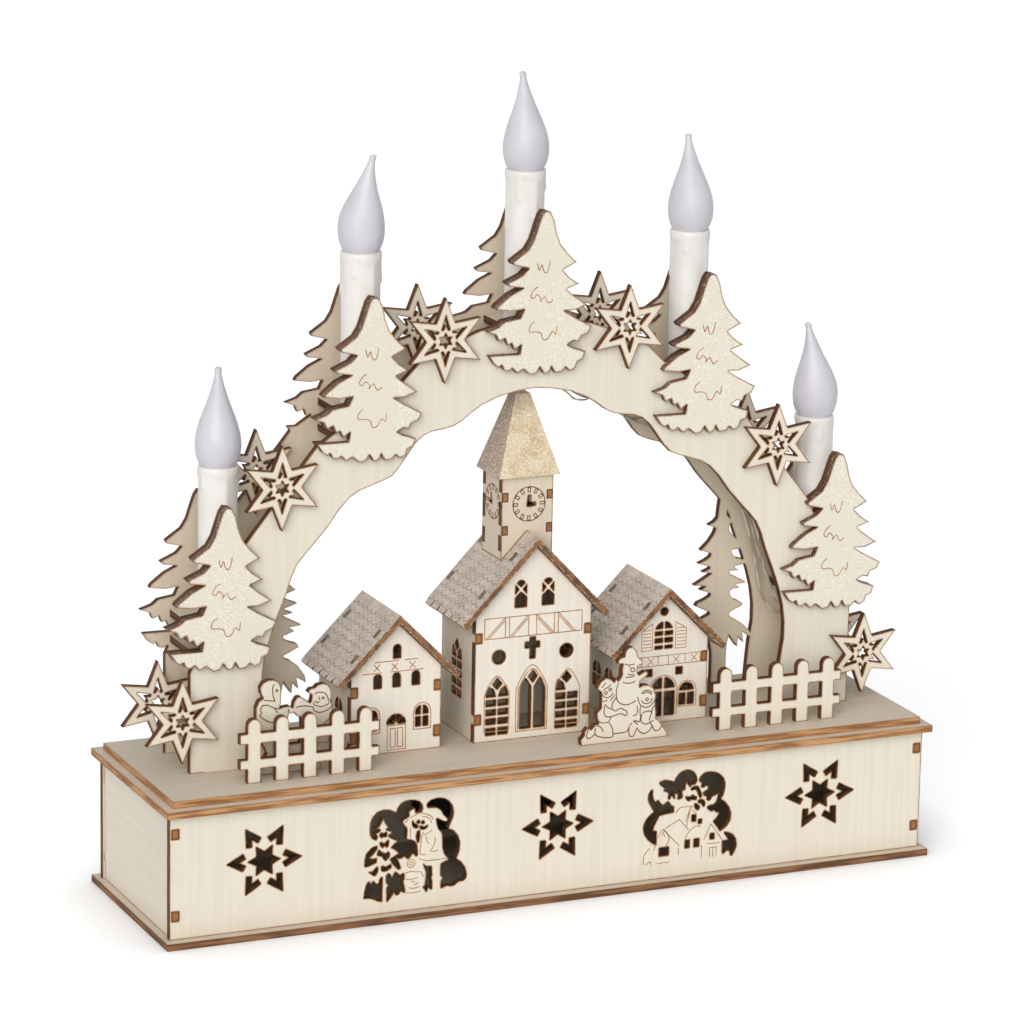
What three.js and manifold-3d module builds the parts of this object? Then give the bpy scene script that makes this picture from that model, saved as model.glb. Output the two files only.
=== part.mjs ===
// A wooden candle arch with a small lit village, standing on a hollow box with a battery compartment.
// Millimetres. X runs along the arch, Y runs from the front to the back and Z points up.
// The origin lies at the middle of the underside.

import * as THREE from "three";
import { mergeVertices } from "three/addons/utils/BufferGeometryUtils.js";
import Module from "manifold-3d";

const wasm = await Module();
wasm.setup();

// Boards and how they fit
const PLY = 3;
const SLOT_FIT = 0.1;
const GLUE_LINE = 0.15;

// Box under the stage
const BOX_LENGTH = 350;
const BOX_DEPTH = 95;
const PANEL_HEIGHT = 53;
const LONG_PANEL_END_INSET = 2.5;
const LONG_PANEL_FACE_INSET = 4.5;
const SIDE_PANEL_FACE_INSET = 3.5;
const STAGE_INSET_X = 3.9;
const STAGE_INSET_Y = 4.3;
const BOX_TAB_LENGTH = 4;
const BOX_TAB_HEIGHTS = [8, 43];

// Arch of two equal panels
const ARCH_FRONT_Y = -10.5;
const ARCH_GAP = 27;
const ARCH_LEG_OUTER_X = 152;
const ARCH_TENON_INNER_X = 126;
const ARCH_TENON_OUTER_X = 146;
const ARCH_CURVE_STEPS = 32;

// Ornaments glued to the arch
const TREE_PLACES = [[-139.5, 43.8], [-76, 126.7], [0, 158], [77, 126.7], [140.5, 43.8]];
const STAR_PLACES = [
  [-156.2, 23.4], [-113.2, 118.5], [-41.8, 175], [41.8, 175], [113.2, 118.5], [158, 22],
];
const STAR_POINT_RADIUS = 18;
const STAR_NOTCH_RADIUS = 8.5;
const STAR_CORE_POINT_RADIUS = 3.3;
const STAR_CORE_NOTCH_RADIUS = 1.7;

// Candles
const CANDLE_PLACES = [[-135.6, 51.3], [-73.6, 136.3], [-0.6, 166.3], [75.9, 136.3], [138, 51.3]];
const SLEEVE_RADIUS = 8.2;
const SLEEVE_WALL = 1.2;
const SLEEVE_LENGTH = 75.5;
const SLEEVE_RIM_RADIUS = 8.8;
const SLEEVE_CLEARANCE = 0.2;
const SHELF_RISE = 11;
const SHELF_LIP = 0.8;
const SHELF_OUTWARD = [14.4, 11.4, 10, 11.4, 14];
const SHELF_INWARD = 10.6;
const SHELF_WEB_WIDTH = 8;
const FLAME_HEIGHT = 40;
const FLAME_SEAT_RADIUS = 7.4;
const FLAME_SPIGOT_RADIUS = 6.8;
const FLAME_SPIGOT_LENGTH = 6;
const FLAME_WALL = 1.3;
const FLAME_BEND = 4.7;
const FLAME_TURNS_DEG = [70, -24, 91, 88, 125];
const FLAME_BEND_START = 12;
const FLAME_PROFILE = [
  [9, 4], [9.6, 8], [9.4, 12.5], [7.5, 19.5], [4.7, 26.5], [2.6, 32], [1.4, 36.5], [1.45, 38.8],
];
const FLAME_HOLLOW = [[0, 26], [5.2, 12]];

// Houses: middle, front face, half width, eaves and depth of the walls, then the roof
const CHURCH = {
  x: 1.1, frontY: -12, halfWidth: 26.7, depth: 35.5,
  ridge: 88, pitchDeg: 46, roofHalfSpan: 34, roofFront: 3.5, roofBack: 3,
  tabs: [[8, 12.2], [43.7, 47.7]],
};
const LEFT_HOUSE = {
  x: -61.3, frontY: -12, halfWidth: 20.4, depth: 35.5,
  ridge: 60.5, pitchDeg: 45, roofHalfSpan: 28, roofFront: 4, roofBack: 3,
  tabs: [[5.5, 10], [25.5, 29.8]],
};
const RIGHT_HOUSE = {
  x: 63.3, frontY: -11.5, halfWidth: 20.2, depth: 35,
  ridge: 60.3, pitchDeg: 45, roofHalfSpan: 27.5, roofFront: 4, roofBack: 5,
  tabs: [[5.5, 10], [25.7, 29.8]],
};

// Middle of the church door
const DOOR_MIDDLE = 1.15;

// Pane of the right church window that stays closed, counted from the lower left one
const CLOSED_PANE = 9;

// Roof boards are a little thinner than the others
const ROOF_THICKNESS = 2.5;

// Rounded tiles along the eaves: their number on each side and the notches between them
const EAVE_TILES = 6;
const EAVE_NOTCH_WIDTH = 2.6;
const EAVE_NOTCH_DEPTH = 2.4;

// Church tower and its spire
const TOWER_WIDTH = 23.5;
const TOWER_DEPTH = 20;
const TOWER_SETBACK = 9;
const TOWER_TOP = 112.1;
const TOWER_FOOT = 58;
const CLOCK_HEIGHT = 99.8;
const CLOCK_OFFSET = 0.75;
const CLOCK_HANDS = [[-0.4, 3.8], [-1, -1], [0.4, -1.2], [3.2, -0.8], [3.1, 0.6], [0.9, 0.5], [0.8, 3.8]];
const SPIRE_HEIGHT = 33.9;
const SPIRE_EAVE = 2.3;
const SPIRE_TOP_WIDTH = 6.6;

// Fences and standing figures
const FENCE_FRONT_Y = -31.5;
const FENCE_MIDDLE_X = 107.2;
const PICKET_COUNT = 5;
const PICKET_PITCH = 12.25;
const PICKET_WIDTH = 5.8;
const PICKET_HEIGHT = 27.5;
const RAIL_END = 3.3;
const RAIL_HEIGHTS = [[6.2, 10.2], [17, 21.3]];
const SNOWMAN_FRONT_Y = -31;
const CHILDREN_FRONT_Y = -22;

// Battery compartment in the back panel
const BATTERY_DOOR_WIDTH = 56;
const BATTERY_DOOR_HEIGHT = 32;
const BATTERY_DOOR_SILL = 10;
const BATTERY_DOOR_CLEARANCE = 0.3;
const BATTERY_CASE_WALL = 1.5;
const BATTERY_CASE_DEPTH = 17;
const BATTERY_FLANGE = 4;
const FINGER_NOTCH_RADIUS = 6;
const SWITCH_MIDDLE_X = 44;
const SWITCH_SLOT_WIDTH = 10;
const SWITCH_SLOT_HEIGHT = 5.4;
const SWITCH_KNOB_WIDTH = 5.4;
const SWITCH_KNOB_STAND = 1.6;
const SWITCH_BASE_WIDTH = 9;
const SWITCH_BASE_HEIGHT = 8;
const SWITCH_BASE_THICKNESS = 1.2;
const SWITCH_CLEARANCE = 0.3;

// Light string
const WIRE_RADIUS = 1.1;
const WIRE_SIDES = 8;
const WIRE_HOLE_RADIUS = 3;
const BULB_RADIUS = 2.4;
const BULB_LENGTH = 8;
const WIRE_RISE_X = CANDLE_PLACES[4][0];
const WIRE_DROP = 5;
const WIRE_FRONT_Y = -18;
const WIRE_TURN_X = 146;
const BOX_BULB_X = [-100, -50, 0, 50, 100];

// Ways of the wire between the candles, from the right one to the left one, height above the stage
const WIRE_SPANS = [
  [[124, 45.5], [121, 78], [108, 102]],
  [[60, 130], [47, 139.5], [36, 137.6], [26, 143], [12, 154]],
  [[-16, 156], [-44, 146], [-60, 131]],
  [[-108, 102], [-119, 78], [-121.5, 45.5]],
];

// Heights and faces that follow from these
const PANEL_FOOT = PLY;
const LID_FOOT = PANEL_FOOT + PANEL_HEIGHT;
const STAGE_FOOT = LID_FOOT + PLY;
const STAGE_TOP = STAGE_FOOT + PLY;
const FRONT_PANEL_Y = -BOX_DEPTH / 2 + LONG_PANEL_FACE_INSET;
const BACK_PANEL_Y = -FRONT_PANEL_Y - PLY;
const SIDE_PANEL_X = BOX_LENGTH / 2 - SIDE_PANEL_FACE_INSET - PLY;
const ARCH_BACK_Y = ARCH_FRONT_Y + PLY + ARCH_GAP;
const CANDLE_Y = ARCH_FRONT_Y + PLY + SHELF_LIP + SLEEVE_CLEARANCE + SLEEVE_RADIUS;
const WIRE_Y = ARCH_BACK_Y - PLY - WIRE_RADIUS - 1;

// Outlines of the arch, right half, height above the stage
const ARCH_OUTER = [
  [152, 43], [130, 93], [97, 134], [59, 159], [52, 166], [45, 170], [35, 174], [25, 177.5],
];
const ARCH_CROWN = 182;
const ARCH_INNER = [
  [117.5, 0], [118.5, 18], [120.5, 33], [119.6, 45], [116, 58], [110, 73], [106.5, 83], [101, 90],
  [93, 98.5], [85, 109], [78, 114], [69, 116.9], [63, 119.5], [58, 125.8], [52, 133.5], [46, 136.5],
  [38, 137.5], [32, 140.3], [25, 145.4], [13, 149.9], [0, 151.5],
];

// Snowy tree, from its tip down the left side, along the foot and up the right side
const TREE_OUTLINE = [
  [2, 68.6], [0.4, 66.4], [-1.2, 61.8], [-3, 56.4], [-5.4, 52.6], [-12.3, 48], [-11.6, 46.7], [-4.8, 45],
  [-7.6, 42.2], [-14.6, 39.2], [-13.4, 37.9], [-6.9, 36.9], [-12.8, 34.2], [-18.4, 30], [-19.4, 28.5],
  [-12.4, 27.4], [-6.5, 28], [-8.3, 24.2], [-15.4, 23.2], [-18.2, 21], [-23.4, 19.4], [-19.1, 17.8],
  [-17.9, 15.1], [-15.1, 16.3], [-13.9, 13.2], [-12.1, 14], [-10.7, 11.1], [-7.6, 13.2], [-8.2, 9],
  [-22.3, 9.2], [-19.7, 5.4], [-17.9, 4.1], [-16.3, 5], [-15.2, 2.6], [-13.2, 2.2], [-11.6, 3.4],
  [-9.4, 1], [-6.6, 2.6], [-3.5, 0], [-0.6, 0.5], [0.9, 3.1], [2.9, 0], [5.1, 0.4], [6.1, 3.1],
  [7.9, 0], [10.9, 0.3], [12.5, 2.2], [14.6, 0.3], [17.2, 1.6], [17.8, 4.1], [20.4, 5], [21.4, 8.2],
  [15.6, 10.2], [13, 11.6], [15.8, 13.2], [18.4, 12.6], [19.2, 14.8], [22.6, 16], [24, 18.8],
  [15.6, 23.4], [11.2, 26.2], [16.2, 26], [21.7, 28], [15.8, 32.2], [12.2, 35.2], [17.8, 37.2],
  [13.4, 40.2], [10.4, 43.4], [16.6, 46.4], [12.6, 50.2], [9.2, 54.4], [7.4, 59], [6.2, 64.4], [4.4, 68.2],
];

// Slender tree under the arch: distance from its axis and height, outward side and house side
const SLENDER_X = 104.5;
const SLENDER_OUTWARD = [
  [2, 88], [1.8, 83.6], [1.9, 80.5], [4.2, 78], [4.6, 77.2], [3.1, 75.8], [3.2, 73.5], [4.8, 71.3],
  [7.2, 69.2], [9.2, 66], [8.9, 64.9], [4.5, 64.4], [5.1, 62.6], [6.8, 60.9], [11.4, 59.6], [11.4, 57.8],
  [7.6, 57.3], [6.2, 56.9], [8.4, 55], [3.7, 55.1], [4.7, 53.4], [8, 51.8], [11.8, 49.7], [11.4, 49],
  [6.9, 48.9], [9.3, 47], [6.3, 47], [4.3, 46.2], [4.5, 44.2], [6.3, 42.3], [8.8, 41.3], [10.9, 39.8],
  [10.1, 38.6], [7.6, 37.8], [5.1, 36.7], [4.3, 35.5], [5.1, 34.2], [8, 32.6], [10.9, 30.7], [13.4, 28.4],
  [15.6, 25.4], [14.4, 24.6], [10.9, 27.2], [11.8, 22.2], [9.1, 25.1], [8.7, 20.5], [6.3, 23.8],
  [4.7, 26.2], [3.8, 23], [3.4, 18.8], [3.4, 0],
];
const SLENDER_INWARD = [
  [-3.6, 0], [-3.6, 18], [-4.4, 23], [-5, 26], [-6.3, 23.8], [-8.7, 20.5], [-9.1, 25.1], [-11.8, 22.2],
  [-10.9, 27.2], [-15.3, 24.6], [-14.5, 28], [-11.4, 32.4], [-8.3, 34.9], [-5.2, 36.2], [-4.9, 37.2],
  [-8, 38.6], [-11.9, 40.5], [-11, 42], [-7.5, 43.2], [-5, 44.6], [-4.7, 45.8], [-9.9, 47.6], [-7, 49.2],
  [-13, 50], [-8.5, 52.4], [-4.3, 54.8], [-9.1, 55.6], [-5.6, 56.9], [-5.4, 57.8], [-11.1, 59.6],
  [-7.6, 61], [-5.4, 62.4], [-5, 63.8], [-10.3, 65.5], [-6.5, 69], [-4, 72.4], [-3, 75.1], [-6.8, 76.5],
  [-4, 77.9], [-2.4, 79.6], [-2.1, 83], [-1.6, 87.5],
];

// Figures beside the right house: a snowman between two kneeling children
const SNOWMAN_OUTLINE = [
  [15.8, 0], [15.2, 2.5], [17, 4.5], [17, 6], [18.5, 7.8], [20, 6.6], [22, 8.5], [23.6, 8.8], [22.7, 12],
  [22.5, 13.8], [24.6, 15.6], [24.6, 22.5], [22.4, 24.5], [24, 27.2], [26.5, 28.8], [29, 27.8],
  [30.3, 26.4], [31.2, 28.2], [32.1, 26.6], [33.2, 28], [34, 29.4], [33.8, 31.6], [34.4, 34.2],
  [32.2, 34.2], [31.8, 35.6], [33, 36.8], [35, 37.2], [35.2, 39.4], [36.6, 41], [38.6, 41.2],
  [40.2, 39.6], [41.2, 36.4], [43.4, 34.6], [43, 33], [41.1, 32.6], [40.8, 29.6], [41.8, 28.4],
  [44.8, 30], [46, 29], [45.4, 27.8], [42.2, 25.8], [42, 23], [44.2, 23.9], [46.6, 23.6], [48.8, 22],
  [49.9, 19], [49.6, 16.4], [50.2, 11], [50, 8.6], [51.6, 7.7], [53, 5.5], [54.6, 3.4], [55.8, 1.2],
  [55.6, 0],
];

// Two children at play behind the left fence, one of them on a sledge
const CHILDREN_OUTLINE = [
  [-127, 0], [-127.4, 4], [-124, 6], [-122.4, 9], [-124.8, 13.4], [-126.4, 19], [-127.5, 24], [-127.4, 29],
  [-126.2, 31.8], [-124.2, 32.8], [-125.4, 35], [-125.7, 37.4], [-124.4, 39.4], [-122, 40.4], [-119.5, 40.2],
  [-117.4, 39], [-116.5, 36.8], [-116.6, 30], [-117.4, 27.6], [-115.6, 28.2], [-112.6, 28.4], [-111.2, 27.4],
  [-110.7, 30], [-109.4, 31.8], [-107.8, 32], [-106, 30.6], [-103.5, 28.8], [-102.9, 30.6], [-102.8, 32.2],
  [-104.8, 33.4], [-103.6, 34.8], [-101.6, 35], [-100.4, 36.2], [-98, 36.6], [-96, 36], [-94.6, 34],
  [-94.2, 31], [-94.6, 28.6], [-93.6, 26.6], [-94, 22], [-97.6, 19], [-97, 15.6], [-94.4, 13], [-96, 10.6],
  [-99.6, 11.4], [-101, 6.6], [-98.6, 4], [-98.8, 0],
];
const CHILDREN_GAP = [
  [-113.4, 12], [-113.8, 21], [-113, 25], [-110.6, 25.4], [-109.2, 23.6], [-107.6, 23.2], [-107.2, 19],
  [-108, 12],
];

// Cut-outs of the front panel: stars and two pictures, height above the foot of the panel
const BOX_STAR_X = [-131.5, 0, 123.5];
const BOX_STAR_HEIGHT = 29.5;
const BOX_STAR_RADIUS = 16.4;
const BOX_STAR_NOTCH_RADIUS = 9.1;
const BOX_STAR_SLOT = 2.6;
const BOX_STAR_BRIDGE = 1.6;
const BOX_STAR_CORE_RADIUS = 7.2;
const BOX_STAR_CORE_NOTCH_RADIUS = 3.9;
const FAMILY_CUTS = [
  [
    [-82.2, 32.4], [-83.8, 33.2], [-84.8, 35], [-85, 37.5], [-84.8, 40], [-83.8, 42.5], [-81.8, 44.4],
    [-79, 45.1], [-76.5, 44.8], [-74.5, 43.9], [-73.2, 43.2], [-72.8, 45], [-71.5, 46.8],
    [-69.5, 47.8], [-67.5, 48.1], [-65, 47.8], [-63, 47], [-61.8, 45.5], [-61.6, 43.5], [-62.2, 42.2],
    [-63.8, 42], [-64.8, 42.4], [-65.1, 44.5], [-66.5, 44], [-67.9, 43], [-67.5, 41.5], [-68, 40.8],
    [-69.5, 40.1], [-70.4, 39.6], [-70.5, 38.5], [-69.4, 37], [-68.5, 36], [-68.5, 33.5],
    [-68.6, 31.2], [-66.8, 30.9], [-65, 30], [-64, 28.5], [-63.7, 26], [-63.6, 23.6], [-64.5, 23.5],
    [-65.2, 24.8], [-66.2, 24.5], [-67, 23.2], [-68, 22.6], [-69, 23.5], [-69.5, 24.2], [-70.5, 23.4],
    [-72, 23.2], [-73.1, 23.8], [-71.8, 21], [-71.1, 19], [-72.1, 18.4], [-73.5, 19.9], [-74.9, 21.4],
    [-75.9, 23.5], [-74, 24.5], [-71.8, 25.6], [-73.5, 27.2], [-75.5, 28.4], [-74, 30], [-72.4, 30.9],
    [-74.8, 32.2], [-76.9, 33.5], [-75.9, 34.4], [-74.9, 35.2], [-76.5, 35.8], [-77.9, 36.6],
    [-76.7, 37.5], [-78.1, 39.2], [-79.2, 41.6], [-79.9, 39.8], [-80.9, 38.2], [-82.2, 37.2],
    [-80.6, 37.1], [-80.4, 36.2], [-81.8, 35.5], [-82.8, 35], [-81.6, 34.2], [-81.8, 33.1],
  ],
  [
    [-81.8, 30], [-84.2, 29.2], [-86.5, 27], [-87.2, 23.8], [-87.2, 21.5], [-85.8, 21.4], [-84, 22],
    [-82, 22.7], [-81.8, 24.6], [-83.8, 24.4], [-85.2, 25], [-83.5, 26.5], [-81.6, 28.8],
  ],
  [
    [-85.5, 19], [-84, 18.8], [-82.8, 19.8], [-81.5, 21], [-81.2, 19], [-82.2, 17.2], [-83, 17],
    [-84, 17.8],
  ],
  [
    [-79.7, 16.2], [-80.5, 15], [-80.9, 13.5], [-82, 13.2], [-83.2, 14.8], [-84, 14.2], [-84.2, 13.2],
    [-85.2, 14.9], [-86.2, 13.8], [-87, 11], [-87.5, 7.6], [-84.8, 7.6], [-82.8, 6.8], [-81.2, 5.8],
    [-79.2, 5.4], [-79.4, 8], [-79.2, 12], [-79.2, 15.8],
  ],
  [
    [-77.5, 16.5], [-76.6, 17.4], [-75.8, 16.8], [-75, 15.2], [-74.2, 16.8], [-73.5, 17.7],
    [-72.4, 16.8], [-71.5, 15.8], [-70.5, 16.5], [-69.5, 16.5], [-69.4, 14.5], [-70, 13], [-69.5, 11],
    [-69, 8.5], [-69.5, 8.1], [-70.8, 9.2], [-71.8, 7.8], [-73, 7.4], [-74, 9], [-74.8, 7.5],
    [-76.8, 5.2], [-77.2, 5.2], [-77.2, 8], [-77.3, 11], [-76.2, 12.6], [-77.3, 12.9], [-77.6, 14.5],
  ],
  [
    [-61, 19.8], [-59.8, 18.5], [-57.2, 18.2], [-57.1, 16], [-56.9, 14.1], [-57.5, 13.6],
    [-56.9, 11.5], [-56.9, 8.2], [-57.5, 8.1], [-58.4, 9.2], [-58.8, 8.5], [-59.5, 7.2], [-60.1, 8.5],
    [-61.1, 9.4], [-60.2, 10.2], [-59.9, 12], [-59.6, 16], [-60.4, 18.2],
  ],
  [
    [-59.5, 45.8], [-58, 47], [-55, 47.6], [-52, 47.1], [-49.8, 45.8], [-48.2, 43.5], [-47.6, 41],
    [-47.8, 39], [-48.8, 36.5], [-50, 33.8], [-47.5, 32.5], [-45.5, 30], [-44.6, 27], [-44.9, 23.5],
    [-46.2, 20.2], [-44, 18.5], [-42.2, 16], [-41.4, 13], [-41.6, 11.2], [-42.8, 10.2], [-44.8, 10.2],
    [-45.8, 9.5], [-47, 8.6], [-48.5, 8.5], [-50, 9], [-51.5, 8.5], [-52.9, 8], [-53, 11],
    [-52.1, 12.6], [-53.1, 13.8], [-53.1, 18.8], [-51.5, 19.5], [-49.5, 20.1], [-49.8, 21],
    [-51.5, 23], [-52.4, 26], [-52.4, 30], [-52.8, 32.5], [-54.2, 34], [-55, 36], [-55.4, 38.8],
    [-54.5, 38.5], [-52.5, 37.4], [-51.2, 36.8], [-50, 37.4], [-50.5, 38.5], [-52.2, 40.2],
    [-53.2, 42.2], [-55, 43.5], [-57, 43.8], [-59, 43.8], [-59.7, 44.6],
  ],
  [
    [-64, 34], [-62.8, 34.5], [-62.6, 32], [-63.2, 29.2], [-63.9, 29.4], [-64.4, 32],
  ],
  [
    [-66, 39.2], [-65.3, 37.8], [-64.1, 37.1], [-63.4, 36.4], [-63.7, 35.6], [-64.8, 35.6],
    [-65.8, 36.4], [-66.3, 37.9],
  ],
  [
    [-62.8, 36.5], [-61, 35.8], [-59, 36.4], [-59.8, 35.1], [-61.2, 34.7], [-62.5, 35.1],
  ],
  [
    [-80.5, 35.1], [-79.8, 35.5], [-78.8, 34.7], [-77.8, 35.6], [-77.3, 34.5], [-77.9, 33.2],
    [-78.8, 33.8], [-79.8, 33.1], [-80.7, 34.1],
  ],
  [
    [-80.7, 31], [-79.8, 31.4], [-78.8, 30.4], [-77.6, 31.2], [-76.8, 32], [-76.5, 30.8],
    [-76.8, 29.2], [-77.5, 28.7], [-78.4, 29.7], [-79.2, 28.7], [-80.2, 29.6],
  ],
  [
    [-81.7, 26.5], [-81, 28.2], [-80, 27.2], [-79, 26.5], [-78, 26], [-76.8, 26.8], [-76, 25.7],
    [-76.2, 24.5], [-77.8, 23], [-78.8, 24], [-79.3, 25], [-80.5, 25.4], [-81.5, 25.6],
  ],
  [
    [-79.9, 20.6], [-78.9, 20.9], [-78.1, 20.2], [-76.8, 20.7], [-75.5, 21.3], [-75.2, 19.9],
    [-76.4, 19], [-77.9, 18.4], [-79.5, 18.7],
  ],
];
const FAMILY_EYES = [[-63.4, 38.2], [-61.4, 37.8]];
const EYE_RADIUS = 0.8;
const HAMLET_CUTS = [
  [
    [46.8, 42.8], [47.8, 43.5], [50, 43.8], [52.2, 43.1], [53.9, 42.4], [54.5, 44], [56, 45.8],
    [58, 46.9], [60, 47.2], [62, 46.6], [63.5, 45.2], [64.4, 43.5], [64.6, 42], [64, 40.7], [63, 40.2],
    [62.1, 40.6], [61.5, 39.4], [60.7, 40.2], [59.7, 42.1], [59.2, 40.6], [59, 38.6], [58, 38.3],
    [57.4, 37.7], [58, 36], [57.6, 34.9], [56.2, 34.5], [55.5, 34.8], [55.8, 36.2], [55.2, 37.2],
    [54.6, 37.6], [54, 36.5], [54.5, 35.3], [53.9, 35], [53.2, 36.5], [52.2, 36.4], [52.1, 35.2],
    [51.4, 35], [51.1, 36], [51.5, 37.7], [50.5, 38.5], [49, 39], [49.5, 40.2], [48.5, 41],
    [47.6, 41.7],
  ],
  [
    [43.3, 40.2], [42.5, 39.2], [41.8, 37.5], [41.9, 35.5], [42.8, 33.5], [44, 31.5], [44.9, 30.3],
    [43, 29], [41.2, 27.2], [40.1, 25], [39.9, 23], [40.5, 20.5], [42, 18.2], [44, 16.5], [46.1, 15.2],
    [46.1, 21.5], [44.3, 21.7], [44.8, 23.8], [46, 26], [47.2, 28.2], [49.5, 28.6], [52, 28.8],
    [53.9, 29], [54, 31.5], [52.8, 32], [52, 33.2], [51, 34.2], [50, 33.5], [48.8, 32.6], [47.5, 33.8],
    [46.5, 35.2], [45, 34.5], [44.2, 36], [43.8, 38], [43.9, 39.8],
  ],
  [
    [65.5, 41.8], [66.2, 43.5], [68, 44.9], [70, 45.2], [72.5, 44.9], [75, 43.8], [77, 41.8],
    [77.9, 39.2], [77.8, 36.5], [77, 34], [75.9, 32.5], [78, 31], [80, 28.5], [81.1, 25.5],
    [80.9, 22.5], [79.2, 20], [76.2, 18.1], [72.8, 22.8], [74.5, 24.5], [75.4, 26], [75.2, 27],
    [74.2, 26.7], [73.2, 27.9], [71.8, 27.4], [70, 28.8], [69.8, 29.7], [71, 30.2], [72.8, 30.4],
    [73.8, 31.2], [74.5, 33], [75.1, 35.5], [74.2, 34.8], [72.2, 34.2], [71.6, 33.7], [71.1, 32.7],
    [70, 32.4], [69.3, 33.2], [69.8, 34.2], [68.5, 34.7], [67.6, 35.5], [67.8, 36.5], [69, 37],
    [70.1, 37.6], [69.8, 39], [68.5, 39.3], [68, 38.5], [66.8, 38.7], [66.5, 39.5], [67.3, 40.2],
    [66.4, 41],
  ],
  [
    [61.8, 38.7], [62.8, 39.4], [64, 39.5], [65.3, 39.2], [66, 37.8], [66.8, 36], [67, 34.5],
    [66.3, 34], [65.7, 35], [64.8, 37], [64.2, 38.2], [63, 38], [62, 37.9],
  ],
  [
    [59.4, 35.4], [61, 35], [62, 35.2], [62.7, 35.9], [63.5, 35], [64.6, 34.8], [64.5, 33.4],
    [63.2, 33.6], [62, 33.9], [61.2, 33.2], [60.2, 33.7], [59.6, 34.5],
  ],
  [
    [65.3, 32.9], [66.2, 33.4], [67.5, 33.2], [68.5, 32.2], [68.7, 30.8], [68.1, 29.9], [67.4, 30.5],
    [67, 31.5], [66, 31.6], [65.4, 32.2],
  ],
  [
    [63.5, 31.5], [64.2, 31.9], [65.2, 31.2], [66.2, 30.2], [66, 29.2], [65.1, 28.7], [64.2, 29.4],
    [63.6, 30.5],
  ],
  [
    [78.2, 17.5], [80.2, 17], [82.2, 16], [83.8, 13.8], [84.2, 11], [83.5, 8.5], [82.1, 6.4],
    [81.4, 6.7], [81, 8.5], [80.1, 9.1], [79, 8.7], [78, 7.6], [77.4, 8.4], [77.4, 13.6], [80.3, 13.6],
    [79.2, 15.5], [78.5, 16.6],
  ],
];
const HAMLET_WINDOWS = [
  [62.5, 64.6, 23.8, 26.9], [65.6, 67.4, 22.5, 24.6], [59.6, 61.9, 12.3, 15.9], [63.8, 66.4, 12.3, 16],
  [71.4, 73.5, 14.9, 17.6], [47.5, 52.1, 10, 13.9],
];

// Shape helpers

const degrees = (angle) => (angle * Math.PI) / 180;

const rectangle = (a0, a1, b0, b1) => [[a0, b0], [a1, b0], [a1, b1], [a0, b1]];

const shifted = (points, da, db) => points.map(([a, b]) => [a + da, b + db]);

const mirrored = (points) => points.map(([a, b]) => [-a, b]).reverse();

// A round outline, or a part of one, with equal steps
function arcPoints(a, b, radius, startDeg, endDeg, steps) {
  return Array.from({ length: steps + 1 }, (_, i) => {
    const angle = degrees(startDeg + ((endDeg - startDeg) * i) / steps);
    return [a + radius * Math.cos(angle), b + radius * Math.sin(angle)];
  });
}

const circlePoints = (a, b, radius, steps) => arcPoints(a, b, radius, 0, 360, steps).slice(0, steps);

// A star with six points, the first one at the given angle
function starPoints(a, b, outer, inner, firstDeg) {
  return Array.from({ length: 12 }, (_, i) => {
    const radius = i % 2 ? inner : outer;
    const angle = degrees(firstDeg + i * 30);
    return [a + radius * Math.cos(angle), b + radius * Math.sin(angle)];
  });
}

// An upright opening with a round head
function roundHead(a0, a1, foot, head, steps = 8) {
  const radius = (a1 - a0) / 2;
  return [[a0, foot], [a1, foot], ...arcPoints((a0 + a1) / 2, head - radius, radius, 0, 180, steps)];
}

const shapeOf = (points) => new THREE.Shape(points.map(([a, b]) => new THREE.Vector2(a, b)));

function prism(outline, foot, head) {
  const geometry = new THREE.ExtrudeGeometry(shapeOf(outline), { depth: head - foot, bevelEnabled: false });
  return geometry.translate(0, 0, foot);
}

// A lying board with its holes: the outline is X and Y, and its underside lies at z = 0
function lying(outline, holes = [], thickness = PLY) {
  const blank = prism(outline, 0, thickness);
  return holes.length ? cut(blank, holes.map((hole) => prism(hole, -PLY, thickness + PLY))) : blank;
}

// A board in the plane of the arch: the outline is X and Z, and its front face lies at y = 0
function standing(outline, holes = [], thickness = PLY) {
  return lying(outline, holes, thickness).rotateX(Math.PI / 2).translate(0, thickness, 0);
}

// A board across the arch: the outline is Y and Z, and the board fills x = 0 to its thickness
function crosswise(outline, holes = [], thickness = PLY) {
  const turn = new THREE.Matrix4().makeBasis(
    new THREE.Vector3(0, 1, 0), new THREE.Vector3(0, 0, 1), new THREE.Vector3(1, 0, 0),
  );
  return lying(outline, holes, thickness).applyMatrix4(turn);
}

function block(x0, x1, y0, y1, z0, z1) {
  const geometry = new THREE.BoxGeometry(x1 - x0, y1 - y0, z1 - z0);
  return geometry.translate((x0 + x1) / 2, (y0 + y1) / 2, (z0 + z1) / 2);
}

// A pyramid without its tip, from a lower to an upper rectangle with the same middle
function cutPyramid(halfX0, halfY0, z0, halfX1, halfY1, z1) {
  const geometry = new THREE.CylinderGeometry(Math.SQRT2, Math.SQRT2, 1, 4);
  geometry.rotateY(Math.PI / 4).rotateX(Math.PI / 2);
  const place = geometry.getAttribute("position");
  for (let i = 0; i < place.count; i += 1) {
    const up = place.getZ(i) > 0;
    place.setXYZ(
      i, place.getX(i) * (up ? halfX1 : halfX0), place.getY(i) * (up ? halfY1 : halfY0), up ? z1 : z0,
    );
  }
  return geometry;
}

// Joining and cutting

function solidOf(geometry) {
  const bare = geometry.clone();
  bare.deleteAttribute("normal");
  bare.deleteAttribute("uv");
  const merged = mergeVertices(bare, 1e-4);
  return new wasm.Manifold(new wasm.Mesh({
    numProp: 3,
    vertProperties: new Float32Array(merged.getAttribute("position").array),
    triVerts: new Uint32Array(merged.index.array),
  }));
}

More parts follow.
